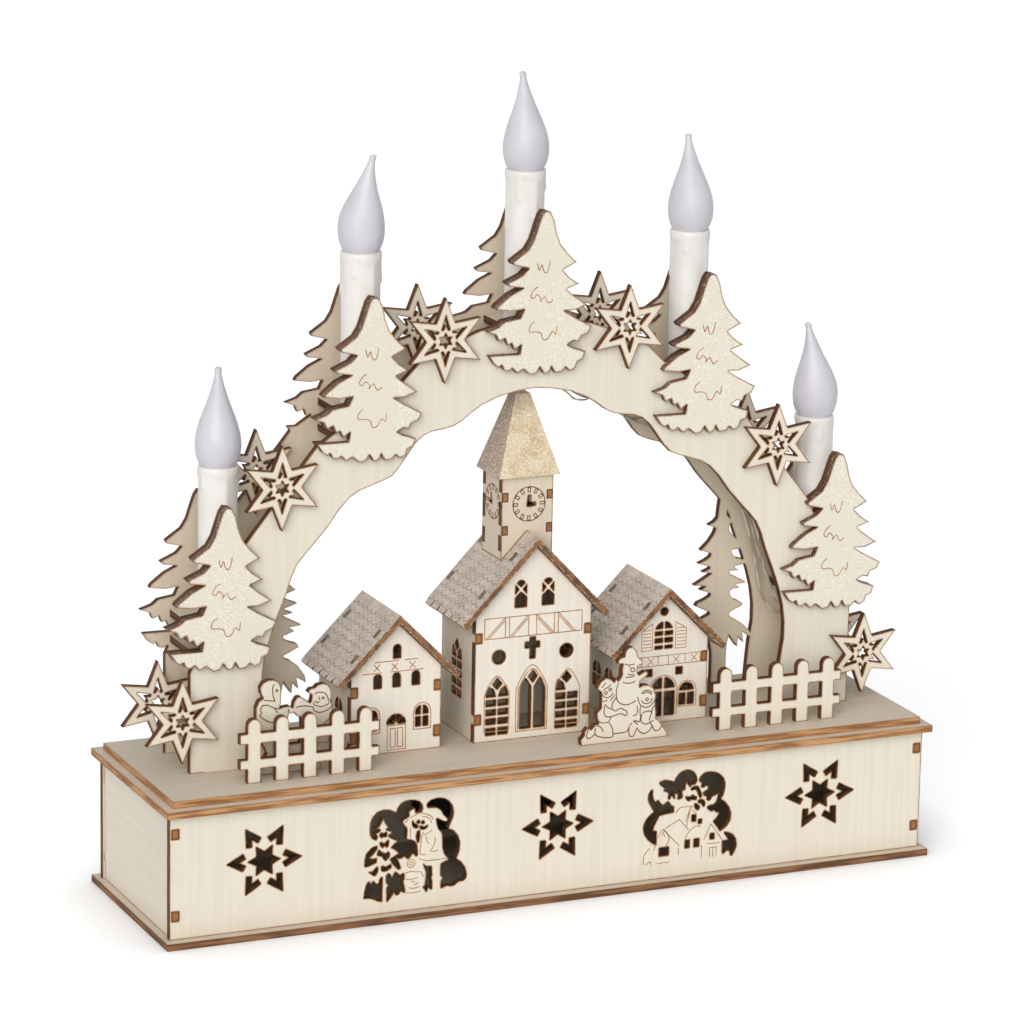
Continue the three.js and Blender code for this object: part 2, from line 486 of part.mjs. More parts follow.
function geometryOf(solid) {
  const mesh = solid.getMesh();
  const geometry = new THREE.BufferGeometry();
  geometry.setAttribute("position", new THREE.BufferAttribute(new Float32Array(mesh.vertProperties), 3));
  geometry.setIndex(new THREE.BufferAttribute(new Uint32Array(mesh.triVerts), 1));
  geometry.computeVertexNormals();
  return geometry;
}

const joined = (geometries) => geometryOf(geometries.map(solidOf).reduce((all, next) => all.add(next)));

const cut = (geometry, tools) => geometryOf(
  tools.map(solidOf).reduce((rest, tool) => rest.subtract(tool), solidOf(geometry)),
);

// Materials

const FINISHES = {
  wood: { color: 0xe9dfca, roughness: 0.72, metalness: 0 },
  shadedWood: { color: 0xd8cbb2, roughness: 0.75, metalness: 0 },
  snow: { color: 0xece8dc, roughness: 0.55, metalness: 0 },
  roof: { color: 0xa79a92, roughness: 0.6, metalness: 0.1 },
  gold: { color: 0xc9ad72, roughness: 0.45, metalness: 0.4 },
  candle: { color: 0xf3f0ea, roughness: 0.4, metalness: 0 },
  flame: { color: 0xe2e0ea, roughness: 0.3, metalness: 0 },
  plastic: { color: 0x23211f, roughness: 0.5, metalness: 0 },
  wire: { color: 0xd9d7d0, roughness: 0.25, metalness: 0 },
};

const model = new THREE.Group();

function addPart(name, finish, geometry, x = 0, y = 0, z = 0, turnDeg = 0) {
  const part = new THREE.Mesh(geometry, new THREE.MeshStandardMaterial(FINISHES[finish]));
  part.name = name;
  part.position.set(x, y, z);
  part.rotation.z = degrees(turnDeg);
  model.add(part);
}

// Box under the stage

function addBox() {
  const halfLength = BOX_LENGTH / 2;
  const halfDepth = BOX_DEPTH / 2;
  const stageHalfX = halfLength - STAGE_INSET_X;
  const stageHalfY = halfDepth - STAGE_INSET_Y;
  const wireHole = circlePoints(WIRE_RISE_X, WIRE_Y, WIRE_HOLE_RADIUS, 12);
  addPart("base_plate", "wood", lying(rectangle(-halfLength, halfLength, -halfDepth, halfDepth)));
  addPart(
    "lid_plate", "wood",
    lying(rectangle(-halfLength, halfLength, -halfDepth, halfDepth), [wireHole]), 0, 0, LID_FOOT,
  );
  const tenonSlots = [ARCH_FRONT_Y, ARCH_BACK_Y].flatMap((y) => [-1, 1].map((side) => {
    const ends = [side * ARCH_TENON_INNER_X, side * ARCH_TENON_OUTER_X].sort((a, b) => a - b);
    return rectangle(ends[0] - SLOT_FIT, ends[1] + SLOT_FIT, y - SLOT_FIT, y + PLY + SLOT_FIT);
  }));
  addPart(
    "stage_plate", "wood",
    lying(rectangle(-stageHalfX, stageHalfX, -stageHalfY, stageHalfY), [wireHole, ...tenonSlots]),
    0, 0, STAGE_FOOT,
  );
  const slots = boxTabSlots();
  const front = standing(longPanelOutline(), frontPanelCuts(slots));
  const back = standing(longPanelOutline(), backPanelCuts(slots));
  addPart("box_front", "wood", front, 0, FRONT_PANEL_Y, PANEL_FOOT);
  addPart("box_back", "wood", back, 0, BACK_PANEL_Y, PANEL_FOOT);
  addPart("box_left", "wood", crosswise(sidePanelOutline()), -SIDE_PANEL_X - PLY, 0, PANEL_FOOT);
  addPart("box_right", "wood", crosswise(sidePanelOutline()), SIDE_PANEL_X, 0, PANEL_FOOT);
}

function longPanelOutline() {
  const half = BOX_LENGTH / 2 - LONG_PANEL_END_INSET;
  return rectangle(-half, half, 0, PANEL_HEIGHT);
}

// Slots in the long panels that take the tabs of the side panels
function boxTabSlots() {
  return [-1, 1].flatMap((side) => BOX_TAB_HEIGHTS.map((foot) => {
    const ends = [side * SIDE_PANEL_X, side * (SIDE_PANEL_X + PLY)].sort((a, b) => a - b);
    const head = foot + BOX_TAB_LENGTH;
    return rectangle(ends[0] - SLOT_FIT, ends[1] + SLOT_FIT, foot - SLOT_FIT, head + SLOT_FIT);
  }));
}

// Outline in Y and Z, with tabs that reach through both long panels
function sidePanelOutline() {
  const inner = -FRONT_PANEL_Y - PLY;
  const outer = -FRONT_PANEL_Y;
  const edge = [];
  BOX_TAB_HEIGHTS.forEach((foot) => {
    edge.push([inner, foot], [outer, foot], [outer, foot + BOX_TAB_LENGTH], [inner, foot + BOX_TAB_LENGTH]);
  });
  const half = [[inner, 0], ...edge, [inner, PANEL_HEIGHT]];
  return [...half, ...mirrored(half)];
}

function frontPanelCuts(slots) {
  const stars = BOX_STAR_X.flatMap((x) => boxStarCuts(x));
  const eyes = FAMILY_EYES.map(([x, z]) => circlePoints(x, z, EYE_RADIUS, 6));
  const windows = HAMLET_WINDOWS.map((edges) => rectangle(...edges));
  return [...slots, ...stars, ...FAMILY_CUTS, ...eyes, ...HAMLET_CUTS, ...windows];
}

// Six bent slots round a small star; a narrow bridge stays where two slots meet
function boxStarCuts(x) {
  const cuts = [starPoints(x, BOX_STAR_HEIGHT, BOX_STAR_CORE_RADIUS, BOX_STAR_CORE_NOTCH_RADIUS, 0)];
  const sideLength = Math.hypot(
    BOX_STAR_RADIUS - BOX_STAR_NOTCH_RADIUS * Math.cos(degrees(30)), BOX_STAR_NOTCH_RADIUS / 2,
  );
  const run = 1 - BOX_STAR_BRIDGE / sideLength;
  const notch = [BOX_STAR_NOTCH_RADIUS * Math.cos(degrees(30)), BOX_STAR_NOTCH_RADIUS / 2];
  const end = [BOX_STAR_RADIUS + (notch[0] - BOX_STAR_RADIUS) * run, notch[1] * run];
  const slope = [(notch[0] - BOX_STAR_RADIUS) / sideLength, notch[1] / sideLength];
  const innerEnd = [end[0] - slope[1] * BOX_STAR_SLOT, end[1] + slope[0] * BOX_STAR_SLOT];
  const innerTip = [BOX_STAR_RADIUS - BOX_STAR_SLOT / slope[1], 0];
  const slot = [
    [BOX_STAR_RADIUS, 0], end, innerEnd, innerTip, [innerEnd[0], -innerEnd[1]], [end[0], -end[1]],
  ];
  for (let i = 0; i < 6; i += 1) {
    const turn = degrees(i * 60);
    cuts.push(slot.map(([a, b]) => [
      x + a * Math.cos(turn) - b * Math.sin(turn), BOX_STAR_HEIGHT + a * Math.sin(turn) + b * Math.cos(turn),
    ]));
  }
  return cuts;
}

function backPanelCuts(slots) {
  const half = BATTERY_DOOR_WIDTH / 2;
  const top = BATTERY_DOOR_SILL + BATTERY_DOOR_HEIGHT;
  const door = [
    [-half, BATTERY_DOOR_SILL], [half, BATTERY_DOOR_SILL], [half, top],
    ...arcPoints(0, top, FINGER_NOTCH_RADIUS, 0, 180, 10), [-half, top],
  ];
  const middle = BATTERY_DOOR_SILL + BATTERY_DOOR_HEIGHT / 2;
  const slot = rectangle(
    SWITCH_MIDDLE_X - SWITCH_SLOT_WIDTH / 2, SWITCH_MIDDLE_X + SWITCH_SLOT_WIDTH / 2,
    middle - SWITCH_SLOT_HEIGHT / 2, middle + SWITCH_SLOT_HEIGHT / 2,
  );
  return [...slots, door, slot];
}

// Battery case, its hinged cover and the switch

function addBatteryParts() {
  const half = BATTERY_DOOR_WIDTH / 2;
  const sill = PANEL_FOOT + BATTERY_DOOR_SILL;
  const top = sill + BATTERY_DOOR_HEIGHT;
  const panelInside = BACK_PANEL_Y;
  const flangeFront = panelInside - PLY;
  const caseFront = panelInside - BATTERY_CASE_DEPTH;
  const switchHeight = (sill + top) / 2;
  const pocketHalf = SWITCH_SLOT_WIDTH / 2 + (SWITCH_BASE_WIDTH - SWITCH_KNOB_WIDTH) / 2 + SWITCH_CLEARANCE;
  const pocketReach = SWITCH_BASE_HEIGHT / 2 + SWITCH_CLEARANCE;
  const pocketDepth = SWITCH_BASE_THICKNESS + 2 * SWITCH_CLEARANCE;
  const flange = block(
    -half - BATTERY_FLANGE, SWITCH_MIDDLE_X + pocketHalf + BATTERY_FLANGE,
    flangeFront, panelInside, sill - BATTERY_FLANGE, top + FINGER_NOTCH_RADIUS + BATTERY_CASE_WALL,
  );
  const tray = block(-half, half, caseFront, panelInside - PLY / 2, sill, top);
  const wall = BATTERY_CASE_WALL;
  const bay = block(
    -half + wall, half - wall, caseFront + wall, panelInside + PLY, sill + wall, top - wall,
  );
  const pocket = block(
    SWITCH_MIDDLE_X - pocketHalf, SWITCH_MIDDLE_X + pocketHalf, panelInside - pocketDepth, panelInside + PLY,
    switchHeight - pocketReach, switchHeight + pocketReach,
  );
  addPart("battery_case", "plastic", cut(joined([flange, tray]), [bay, pocket]));

  const coverHalf = half - BATTERY_DOOR_CLEARANCE;
  const coverHeight = BATTERY_DOOR_HEIGHT - 2 * BATTERY_DOOR_CLEARANCE;
  addPart(
    "battery_cover", "wood", standing(rectangle(-coverHalf, coverHalf, 0, coverHeight)),
    0, panelInside, sill + BATTERY_DOOR_CLEARANCE,
  );

  const knobX = SWITCH_MIDDLE_X - SWITCH_SLOT_WIDTH / 2 + SWITCH_KNOB_WIDTH / 2 + SWITCH_CLEARANCE;
  const knobReach = SWITCH_SLOT_HEIGHT / 2 - SWITCH_CLEARANCE;
  const baseBack = -SWITCH_CLEARANCE;
  const base = block(
    -SWITCH_BASE_WIDTH / 2, SWITCH_BASE_WIDTH / 2, baseBack - SWITCH_BASE_THICKNESS, baseBack,
    -SWITCH_BASE_HEIGHT / 2, SWITCH_BASE_HEIGHT / 2,
  );
  const knob = block(
    -SWITCH_KNOB_WIDTH / 2, SWITCH_KNOB_WIDTH / 2,
    baseBack - SWITCH_BASE_THICKNESS / 2, PLY + SWITCH_KNOB_STAND, -knobReach, knobReach,
  );
  addPart("switch_slider", "plastic", joined([base, knob]), knobX, panelInside, switchHeight);
}

// Arch

function archBandOutline() {
  const inner = new THREE.SplineCurve(ARCH_INNER.map(([x, z]) => new THREE.Vector2(x, z)));
  const innerPoints = inner.getPoints(ARCH_CURVE_STEPS).map((point) => [point.x, Math.max(point.y, 0)]);
  const right = [
    [ARCH_TENON_INNER_X, 0], [ARCH_TENON_INNER_X, -PLY], [ARCH_TENON_OUTER_X, -PLY], [ARCH_TENON_OUTER_X, 0],
    [ARCH_LEG_OUTER_X, 0], ...ARCH_OUTER,
  ];
  const innerRight = innerPoints.slice(0, -1);
  return [
    ...right, [0, ARCH_CROWN], ...mirrored(right), ...mirrored(innerRight).reverse(),
    innerPoints.at(-1), ...innerRight.reverse(),
  ];
}

function archPanel(extra = []) {
  const trees = TREE_PLACES.map(([x, z]) => standing(shifted(TREE_OUTLINE, x, z)));
  return joined([standing(archBandOutline()), ...trees, ...extra]);
}

function slenderTree(side) {
  const outline = [...SLENDER_OUTWARD, ...SLENDER_INWARD].map(([out, z]) => [side * (SLENDER_X + out), z]);
  return standing(outline);
}

function addArch() {
  addPart("arch_front", "wood", archPanel(), 0, ARCH_FRONT_Y, STAGE_TOP);
  const backPanel = archPanel([slenderTree(-1), slenderTree(1)]);
  addPart("arch_back", "shadedWood", backPanel, 0, ARCH_BACK_Y, STAGE_TOP);
  TREE_PLACES.forEach(([x, z], i) => {
    addPart(`fir_tree_${i + 1}`, "snow", standing(TREE_OUTLINE), x, ARCH_FRONT_Y - PLY, STAGE_TOP + z);
  });
  STAR_PLACES.forEach(([x, z], i) => {
    addPart(`front_star_${i + 1}`, "wood", fretStar(), x, ARCH_FRONT_Y - PLY, STAGE_TOP + z);
    addPart(`back_star_${i + 1}`, "shadedWood", fretStar(), x, ARCH_BACK_Y - PLY, STAGE_TOP + z);
  });
}

// A star with a slot in each point and a small star in the middle
function fretStar() {
  const slot = [[0, 10.9], [-1.95, 4.5], [-1, 4.5], [0, 6.5], [1, 4.5], [1.95, 4.5]];
  const holes = [starPoints(0, 0, STAR_CORE_POINT_RADIUS, STAR_CORE_NOTCH_RADIUS, 90)];
  for (let i = 0; i < 6; i += 1) {
    const turn = degrees(i * 60);
    holes.push(slot.map(([a, b]) => [
      a * Math.cos(turn) - b * Math.sin(turn), a * Math.sin(turn) + b * Math.cos(turn),
    ]));
  }
  return standing(starPoints(0, 0, STAR_POINT_RADIUS, STAR_NOTCH_RADIUS, 90), holes);
}

// Candles

function candleSleeve() {
  const inner = SLEEVE_RADIUS - SLEEVE_WALL;
  const profile = [
    [inner, 0], [SLEEVE_RADIUS, 0], [SLEEVE_RADIUS, SLEEVE_LENGTH - 9],
    [SLEEVE_RIM_RADIUS, SLEEVE_LENGTH - 4], [SLEEVE_RIM_RADIUS - 0.1, SLEEVE_LENGTH - 1],
    [SLEEVE_RADIUS, SLEEVE_LENGTH], [inner, SLEEVE_LENGTH], [inner, 0],
  ];
  return turned(profile, 14);
}

// A closed profile of radius and height, turned round the upright axis
function turned(profile, sides) {
  const points = profile.map(([radius, height]) => new THREE.Vector2(radius, height));
  return new THREE.LatheGeometry(points, sides).rotateX(Math.PI / 2);
}

// Frosted cap: a drop with a long bent tip, hollow below for the lamp
function flameCap() {
  const seat = FLAME_SEAT_RADIUS;
  const spigot = FLAME_SPIGOT_RADIUS;
  const bore = spigot - FLAME_WALL;
  const body = turned([
    ...FLAME_HOLLOW, [bore, -FLAME_SPIGOT_LENGTH], [spigot, -FLAME_SPIGOT_LENGTH],
    [spigot, 0], [seat, 0], ...FLAME_PROFILE, [0, FLAME_HEIGHT],
  ], 12);
  const place = body.getAttribute("position");
  for (let i = 0; i < place.count; i += 1) {
    const rise = Math.max(place.getZ(i) - FLAME_BEND_START, 0);
    const share = rise / (FLAME_HEIGHT - FLAME_BEND_START);
    place.setX(i, place.getX(i) + FLAME_BEND * share ** 1.6);
  }
  return body;
}

// Two shelves that bridge the arch panels, held together by a web on the back panel
function candleHolder(side, outward) {
  const x0 = side < 0 ? -outward : -SHELF_INWARD;
  const x1 = side > 0 ? outward : SHELF_INWARD;
  const y0 = ARCH_FRONT_Y + PLY;
  const y1 = ARCH_BACK_Y;
  const outline = rectangle(x0, x1, y0, y1);
  const socket = circlePoints(0, CANDLE_Y, SLEEVE_RADIUS + SLEEVE_CLEARANCE, 16);
  const wireHole = circlePoints(0, CANDLE_Y, WIRE_HOLE_RADIUS, 10);
  const lower = lying(outline, [wireHole]).translate(0, 0, -PLY);
  const upper = lying(outline, [socket]).translate(0, 0, SHELF_RISE - PLY);
  const web = block(-SHELF_WEB_WIDTH / 2, SHELF_WEB_WIDTH / 2, y1 - PLY, y1, -PLY, SHELF_RISE);
  return joined([lower, upper, web]);
}

function addCandles() {
  CANDLE_PLACES.forEach(([x, z], i) => {
    const shelf = STAGE_TOP + z;
    const holder = candleHolder(Math.sign(x), SHELF_OUTWARD[i]);
    addPart(`candle_holder_${i + 1}`, "wood", holder, x, 0, shelf);
    addPart(`candle_sleeve_${i + 1}`, "candle", candleSleeve(), x, CANDLE_Y, shelf);
    addPart(
      `candle_flame_${i + 1}`, "flame", flameCap(), x, CANDLE_Y, shelf + SLEEVE_LENGTH, FLAME_TURNS_DEG[i],
    );
  });
}

// Houses

// Height of the roof's underside above the stage, at a distance from the ridge line
function roofUnderside(house, distance) {
  const pitch = degrees(house.pitchDeg);
  return house.ridge - ROOF_THICKNESS / Math.cos(pitch) - Math.abs(distance) * Math.tan(pitch);
}

// Gable board with notches at its edges for the tabs of the side walls
function gableBoard(house, holes) {
  const half = house.halfWidth;
  const eaves = roofUnderside(house, half) - GLUE_LINE;
  const edge = house.tabs.flatMap(([foot, head]) => [
    [half, foot - SLOT_FIT], [half - PLY - SLOT_FIT, foot - SLOT_FIT],
    [half - PLY - SLOT_FIT, head + SLOT_FIT], [half, head + SLOT_FIT],
  ]);
  const right = [[half, 0], ...edge, [half, eaves]];
  const outline = [...right, [0, roofUnderside(house, 0) - GLUE_LINE], ...mirrored(right)];
  return standing(outline, holes.map((hole) => shifted(hole, -house.x, 0)));
}

// Both side walls with their tabs, and the back wall between them
function houseShell(house, sideWindows) {
  const half = house.halfWidth;
  const eaves = roofUnderside(house, half) - GLUE_LINE;
  const tabs = house.tabs.flatMap(([foot, head]) => [[PLY, foot], [0, foot], [0, head], [PLY, head]]);
  const side = [[PLY, 0], ...tabs, [PLY, eaves], [house.depth, eaves], [house.depth, 0]];
  const left = crosswise(side, sideWindows).translate(-half, 0, 0);
  const right = crosswise(side, sideWindows).translate(half - PLY, 0, 0);
  const tip = roofUnderside(house, 0) - GLUE_LINE;
  const gable = [[-half, 0], [half, 0], [half, eaves], [0, tip], [-half, eaves]];
  const back = standing(gable).translate(0, house.depth - PLY, 0);
  return joined([left, right, back]);
}

// Two boards that meet at the ridge
function houseRoof(house) {
  const pitch = degrees(house.pitchDeg);
  const span = house.roofHalfSpan;
  const eave = house.ridge - span * Math.tan(pitch);
  const right = [
    [span - ROOF_THICKNESS * Math.sin(pitch), eave - ROOF_THICKNESS * Math.cos(pitch)], [span, eave],
  ];
  const outline = [...right, [0, house.ridge], ...mirrored(right), [0, roofUnderside(house, 0)]];
  const length = house.roofFront + house.depth + house.roofBack;
  const notches = [];
  for (let i = 0; i <= EAVE_TILES; i += 1) {
    const y = (length * i) / EAVE_TILES;
    const notch = [
      [span + 1, y - EAVE_NOTCH_WIDTH / 2], [span + 1, y + EAVE_NOTCH_WIDTH / 2],
      [span - EAVE_NOTCH_DEPTH, y],
    ];
    const foot = eave - 2 * PLY;
    const head = eave + 2 * PLY;
    notches.push(prism(notch, foot, head), prism(mirrored(notch), foot, head));
  }
  return cut(standing(outline, [], length), notches);
}

function addHouse(prefix, house, holes, sideWindows) {
  const y = house.frontY;
  addPart(`${prefix}_front`, "wood", gableBoard(house, holes), house.x, y, STAGE_TOP);
  addPart(`${prefix}_shell`, "shadedWood", houseShell(house, sideWindows), house.x, y, STAGE_TOP);
  addPart(`${prefix}_roof`, "roof", houseRoof(house), house.x, y - house.roofFront, STAGE_TOP);
}

// A pointed opening split by rails into panes, a diamond pane in its tip
function pointedWindow(middle, width) {
  const a0 = middle - width / 2;
  const a1 = middle + width / 2;
  const half = width / 2 - 0.5;
  const rows = [[2.8, 6], [7.5, 10.2], [11.5, 14.2], [15.5, 18.3]];
  const panes = rows.flatMap(([foot, head]) => [
    rectangle(a0, middle - 0.5, foot, head), rectangle(middle + 0.5, a1, foot, head),
  ]);
  const arch = [
    [[a0, 19.6], [middle - 0.5, 19.6], [middle - 1.6, 22.8], [a0 + 1, 24.4], [a0 + 0.2, 22]],
    [[middle + 0.5, 19.6], [a1, 19.6], [a1 - 0.2, 22], [a1 - 1, 24.4], [middle + 1.6, 22.8]],
    [[middle, 22.6], [middle + half / 2, 25], [middle, 27.8], [middle - half / 2, 25]],
  ];
  return [...panes, ...arch];
}

function churchFrontHoles() {
  const gables = [-5, 7.5].flatMap((middle) => [
    [[middle - 2.7, 57.7], [middle + 2.7, 57.7], [middle + 2.7, 62], [middle, 64.4], [middle - 2.7, 62]],
    [[middle - 2.6, 63.4], [middle - 0.9, 65.5], [middle - 2.6, 67.6]],
    [[middle + 2.6, 63.4], [middle + 2.6, 67.6], [middle + 0.9, 65.5]],
    [
      [middle, 66.5], [middle + 1.9, 68.2], [middle + 1.2, 69.1], [middle, 69.4], [middle - 1.2, 69.1],
      [middle - 1.9, 68.2],
    ],
  ]);
  const cross = [
    [-0.5, 34.8], [2.1, 34.8], [2.1, 39.5], [4.1, 39.5], [4.1, 42.2], [2.1, 42.2], [2.1, 44.2],
    [-0.5, 44.2], [-0.5, 42.2], [-2.7, 42.2], [-2.7, 39.5], [-0.5, 39.5],
  ];
  const rounds = [-14.7, 16.5].map((x) => circlePoints(x, 36.8, 3.1, 14));
  const doorPane = [
    [-4.7, 4.2], [0.5, 4.2], [0.5, 22.6], [-1.2, 25.2], [-2.2, 26.4], [-3.4, 24.8], [-4.3, 22.6], [-4.7, 20],
  ];
  const door = [
    doorPane, doorPane.map(([a, b]) => [2 * DOOR_MIDDLE - a, b]).reverse(),
    [[DOOR_MIDDLE, 24], [DOOR_MIDDLE + 2.2, 27], [DOOR_MIDDLE, 29.8], [DOOR_MIDDLE - 2.2, 27]],
  ];
  const leftWindow = pointedWindow(-15.2, 10.2);
  const rightWindow = pointedWindow(16.9, 10.2).filter((_, i) => i !== CLOSED_PANE);
  return [...gables, cross, ...rounds, ...door, ...leftWindow, ...rightWindow];
}

// Openings of the side walls: distance behind the front face, and height
const churchSideWindow = () => pointedWindow(19.2, 10.2).map((pane) => shifted(pane, 0, 13.2));

const houseSideWindows = () => [13.2, 25.4].flatMap((from) => quarteredWindow(from, 4, 11.2, 22.4));

function leftHouseHoles() {
  const fanSteps = [[2, 42], [48, 87], [93, 132], [138, 178]];
  const fan = fanSteps.map(([start, end]) => [
    ...arcPoints(-61.1, 12.5, 4.3, start, end, 3), ...arcPoints(-61.1, 12.5, 0.9, end, start, 1),
  ]);
  const attic = roundHead(-62.7, -59.3, 41, 47);
  const row = [-69.6, -61.1, -52.4].map((x) => roundHead(x - 1.75, x + 1.75, 28.6, 34.8));
  const windows = [-72.4, -49.5].flatMap((x) => quarteredWindow(x, 2.9, 10.4, 19.5));
  return [attic, ...row, ...fan, ...windows];
}

// A window with a round head, split in four
function quarteredWindow(x, half, foot, head) {
  const bar = 0.5;
  const sill = (foot + head) / 2 + 0.2;
  const spring = head - half;
  const lower = [
    rectangle(x - half, x - bar, foot, sill - bar), rectangle(x + bar, x + half, foot, sill - bar),
  ];
  const curve = arcPoints(x, spring, half, 0, 78, 4);
  const rightUpper = [[x + bar, sill + bar], [x + half, sill + bar], ...curve];
  const leftUpper = rightUpper.map(([a, b]) => [2 * x - a, b]).reverse();
  return [...lower, rightUpper, leftUpper];
}

function rightHouseHoles() {
  const attic = circlePoints(62.4, 49.3, 1.8, 12);
  const bars = [[32.8, 34.2], [35.6, 37.6], [38.8, 40.6]];
  const middle = 62.4;
  const grid = bars.flatMap(([foot, head]) => [
    rectangle(middle - 4.2, middle - 0.5, foot, head), rectangle(middle + 0.5, middle + 4.2, foot, head),
  ]);
  const head = [[middle + 0.5, 41.8], [middle + 4.1, 41.8], ...arcPoints(middle, 40.8, 4, 20, 82, 4)];
  const headLeft = head.map(([a, b]) => [2 * middle - a, b]).reverse();
  const squares = [rectangle(54.1, 57.3, 21, 24.2), rectangle(68.5, 71.6, 20.8, 24)];
  const door = [
    rectangle(57.3, 62, 3, 13.6), rectangle(63.3, 68.1, 3, 13.6),
    [[63.3, 15.2], [68.1, 15.2], ...arcPoints(62.65, 14.6, 5.4, 12, 82, 5)],
    [[62, 15.2], ...arcPoints(62.65, 14.6, 5.4, 98, 168, 5), [57.3, 15.2]],
  ];
  const small = [
    rectangle(70.3, 73.3, 7, 12.2), rectangle(74.3, 77.3, 7, 12.2),
    [[70.4, 13.4], [77.2, 13.4], ...arcPoints(73.8, 13.4, 3.4, 10, 170, 6)],
  ];
  return [attic, ...grid, head, headLeft, ...squares, ...door, ...small];
}

// Tower that rides on the church roof, and its spire

// Wall board of the tower about its own middle, with the hands of the clock cut through it
function towerWall(width, board) {
  const half = width / 2;
  const hands = shifted(CLOCK_HANDS, CLOCK_OFFSET, CLOCK_HEIGHT);
  return board(rectangle(-half, half, TOWER_FOOT, TOWER_TOP), [hands]);
}

function addTower() {
  const halfX = TOWER_WIDTH / 2;
  const y = CHURCH.frontY + TOWER_SETBACK;
  const walls = [
    towerWall(TOWER_WIDTH, standing),
    towerWall(TOWER_DEPTH, crosswise).translate(-halfX, TOWER_DEPTH / 2, 0),
    block(halfX - PLY, halfX, 0, TOWER_DEPTH, TOWER_FOOT, TOWER_TOP),
    block(-halfX, halfX, TOWER_DEPTH - PLY, TOWER_DEPTH, TOWER_FOOT, TOWER_TOP),
  ];
  const pitch = degrees(CHURCH.pitchDeg);
  const reach = TOWER_WIDTH;
  const lift = GLUE_LINE / Math.cos(pitch);
  const roofTop = standing([
    [-reach, TOWER_FOOT - PLY], [reach, TOWER_FOOT - PLY],
    [reach, CHURCH.ridge + lift - reach * Math.tan(pitch)], [0, CHURCH.ridge + lift],
    [-reach, CHURCH.ridge + lift - reach * Math.tan(pitch)],
  ], [], TOWER_DEPTH + 2 * PLY).translate(0, -PLY, 0);
  addPart("church_tower", "wood", cut(joined(walls), [roofTop]), CHURCH.x, y, STAGE_TOP);

  const halfY = TOWER_DEPTH / 2;
  const outer = cutPyramid(
    halfX + SPIRE_EAVE, halfY + SPIRE_EAVE, 0, SPIRE_TOP_WIDTH / 2, SPIRE_TOP_WIDTH / 2, SPIRE_HEIGHT,
  );
  const innerTop = SPIRE_TOP_WIDTH / 2 - PLY;
  const inner = cutPyramid(halfX - PLY, halfY - PLY, -1, innerTop, innerTop, SPIRE_HEIGHT - 2 * PLY);
  addPart("church_spire", "gold", cut(outer, [inner]), CHURCH.x, y + halfY, STAGE_TOP + TOWER_TOP);
}

// Fences and figures

function fence() {
  const half = PICKET_WIDTH / 2;
  const first = (-(PICKET_COUNT - 1) * PICKET_PITCH) / 2;
  const boards = [];
  for (let i = 0; i < PICKET_COUNT; i += 1) {
    const x = first + i * PICKET_PITCH;
    boards.push(standing(roundHead(x - half, x + half, 0, PICKET_HEIGHT, 6)));
  }
  RAIL_HEIGHTS.forEach(([foot, head]) => {
    const end = -first + half + RAIL_END;
    boards.push(standing(rectangle(-end, end, foot, head)));
  });
  return joined(boards);
}

function addVillage() {
  addHouse("church", CHURCH, churchFrontHoles(), churchSideWindow());
  addHouse("left_house", LEFT_HOUSE, leftHouseHoles(), houseSideWindows());
  addHouse("right_house", RIGHT_HOUSE, rightHouseHoles(), houseSideWindows());
  addTower();
  addPart("fence_left", "wood", fence(), -FENCE_MIDDLE_X, FENCE_FRONT_Y, STAGE_TOP);
  addPart("fence_right", "wood", fence(), FENCE_MIDDLE_X, FENCE_FRONT_Y, STAGE_TOP);
  addPart("snowman_plate", "wood", standing(SNOWMAN_OUTLINE), 0, SNOWMAN_FRONT_Y, STAGE_TOP);
  const children = standing(CHILDREN_OUTLINE, [CHILDREN_GAP]);
  addPart("children_plate", "wood", children, 0, CHILDREN_FRONT_Y, STAGE_TOP);
}

// Light string: one wire from the battery case, along the box, up between the legs and under each candle

function wireAlong(points, steps) {
  const places = points.map((point) => new THREE.Vector3(...point));
  const route = new THREE.CatmullRomCurve3(places, false, "centripetal");
  const section = shapeOf(circlePoints(0, 0, WIRE_RADIUS, WIRE_SIDES));
  return new THREE.ExtrudeGeometry(section, { steps, bevelEnabled: false, extrudePath: route });
}

function bulb() {
  return turned([[0, 0], [BULB_RADIUS, 0], [BULB_RADIUS, BULB_LENGTH - BULB_RADIUS], [0, BULB_LENGTH]], 6);
}

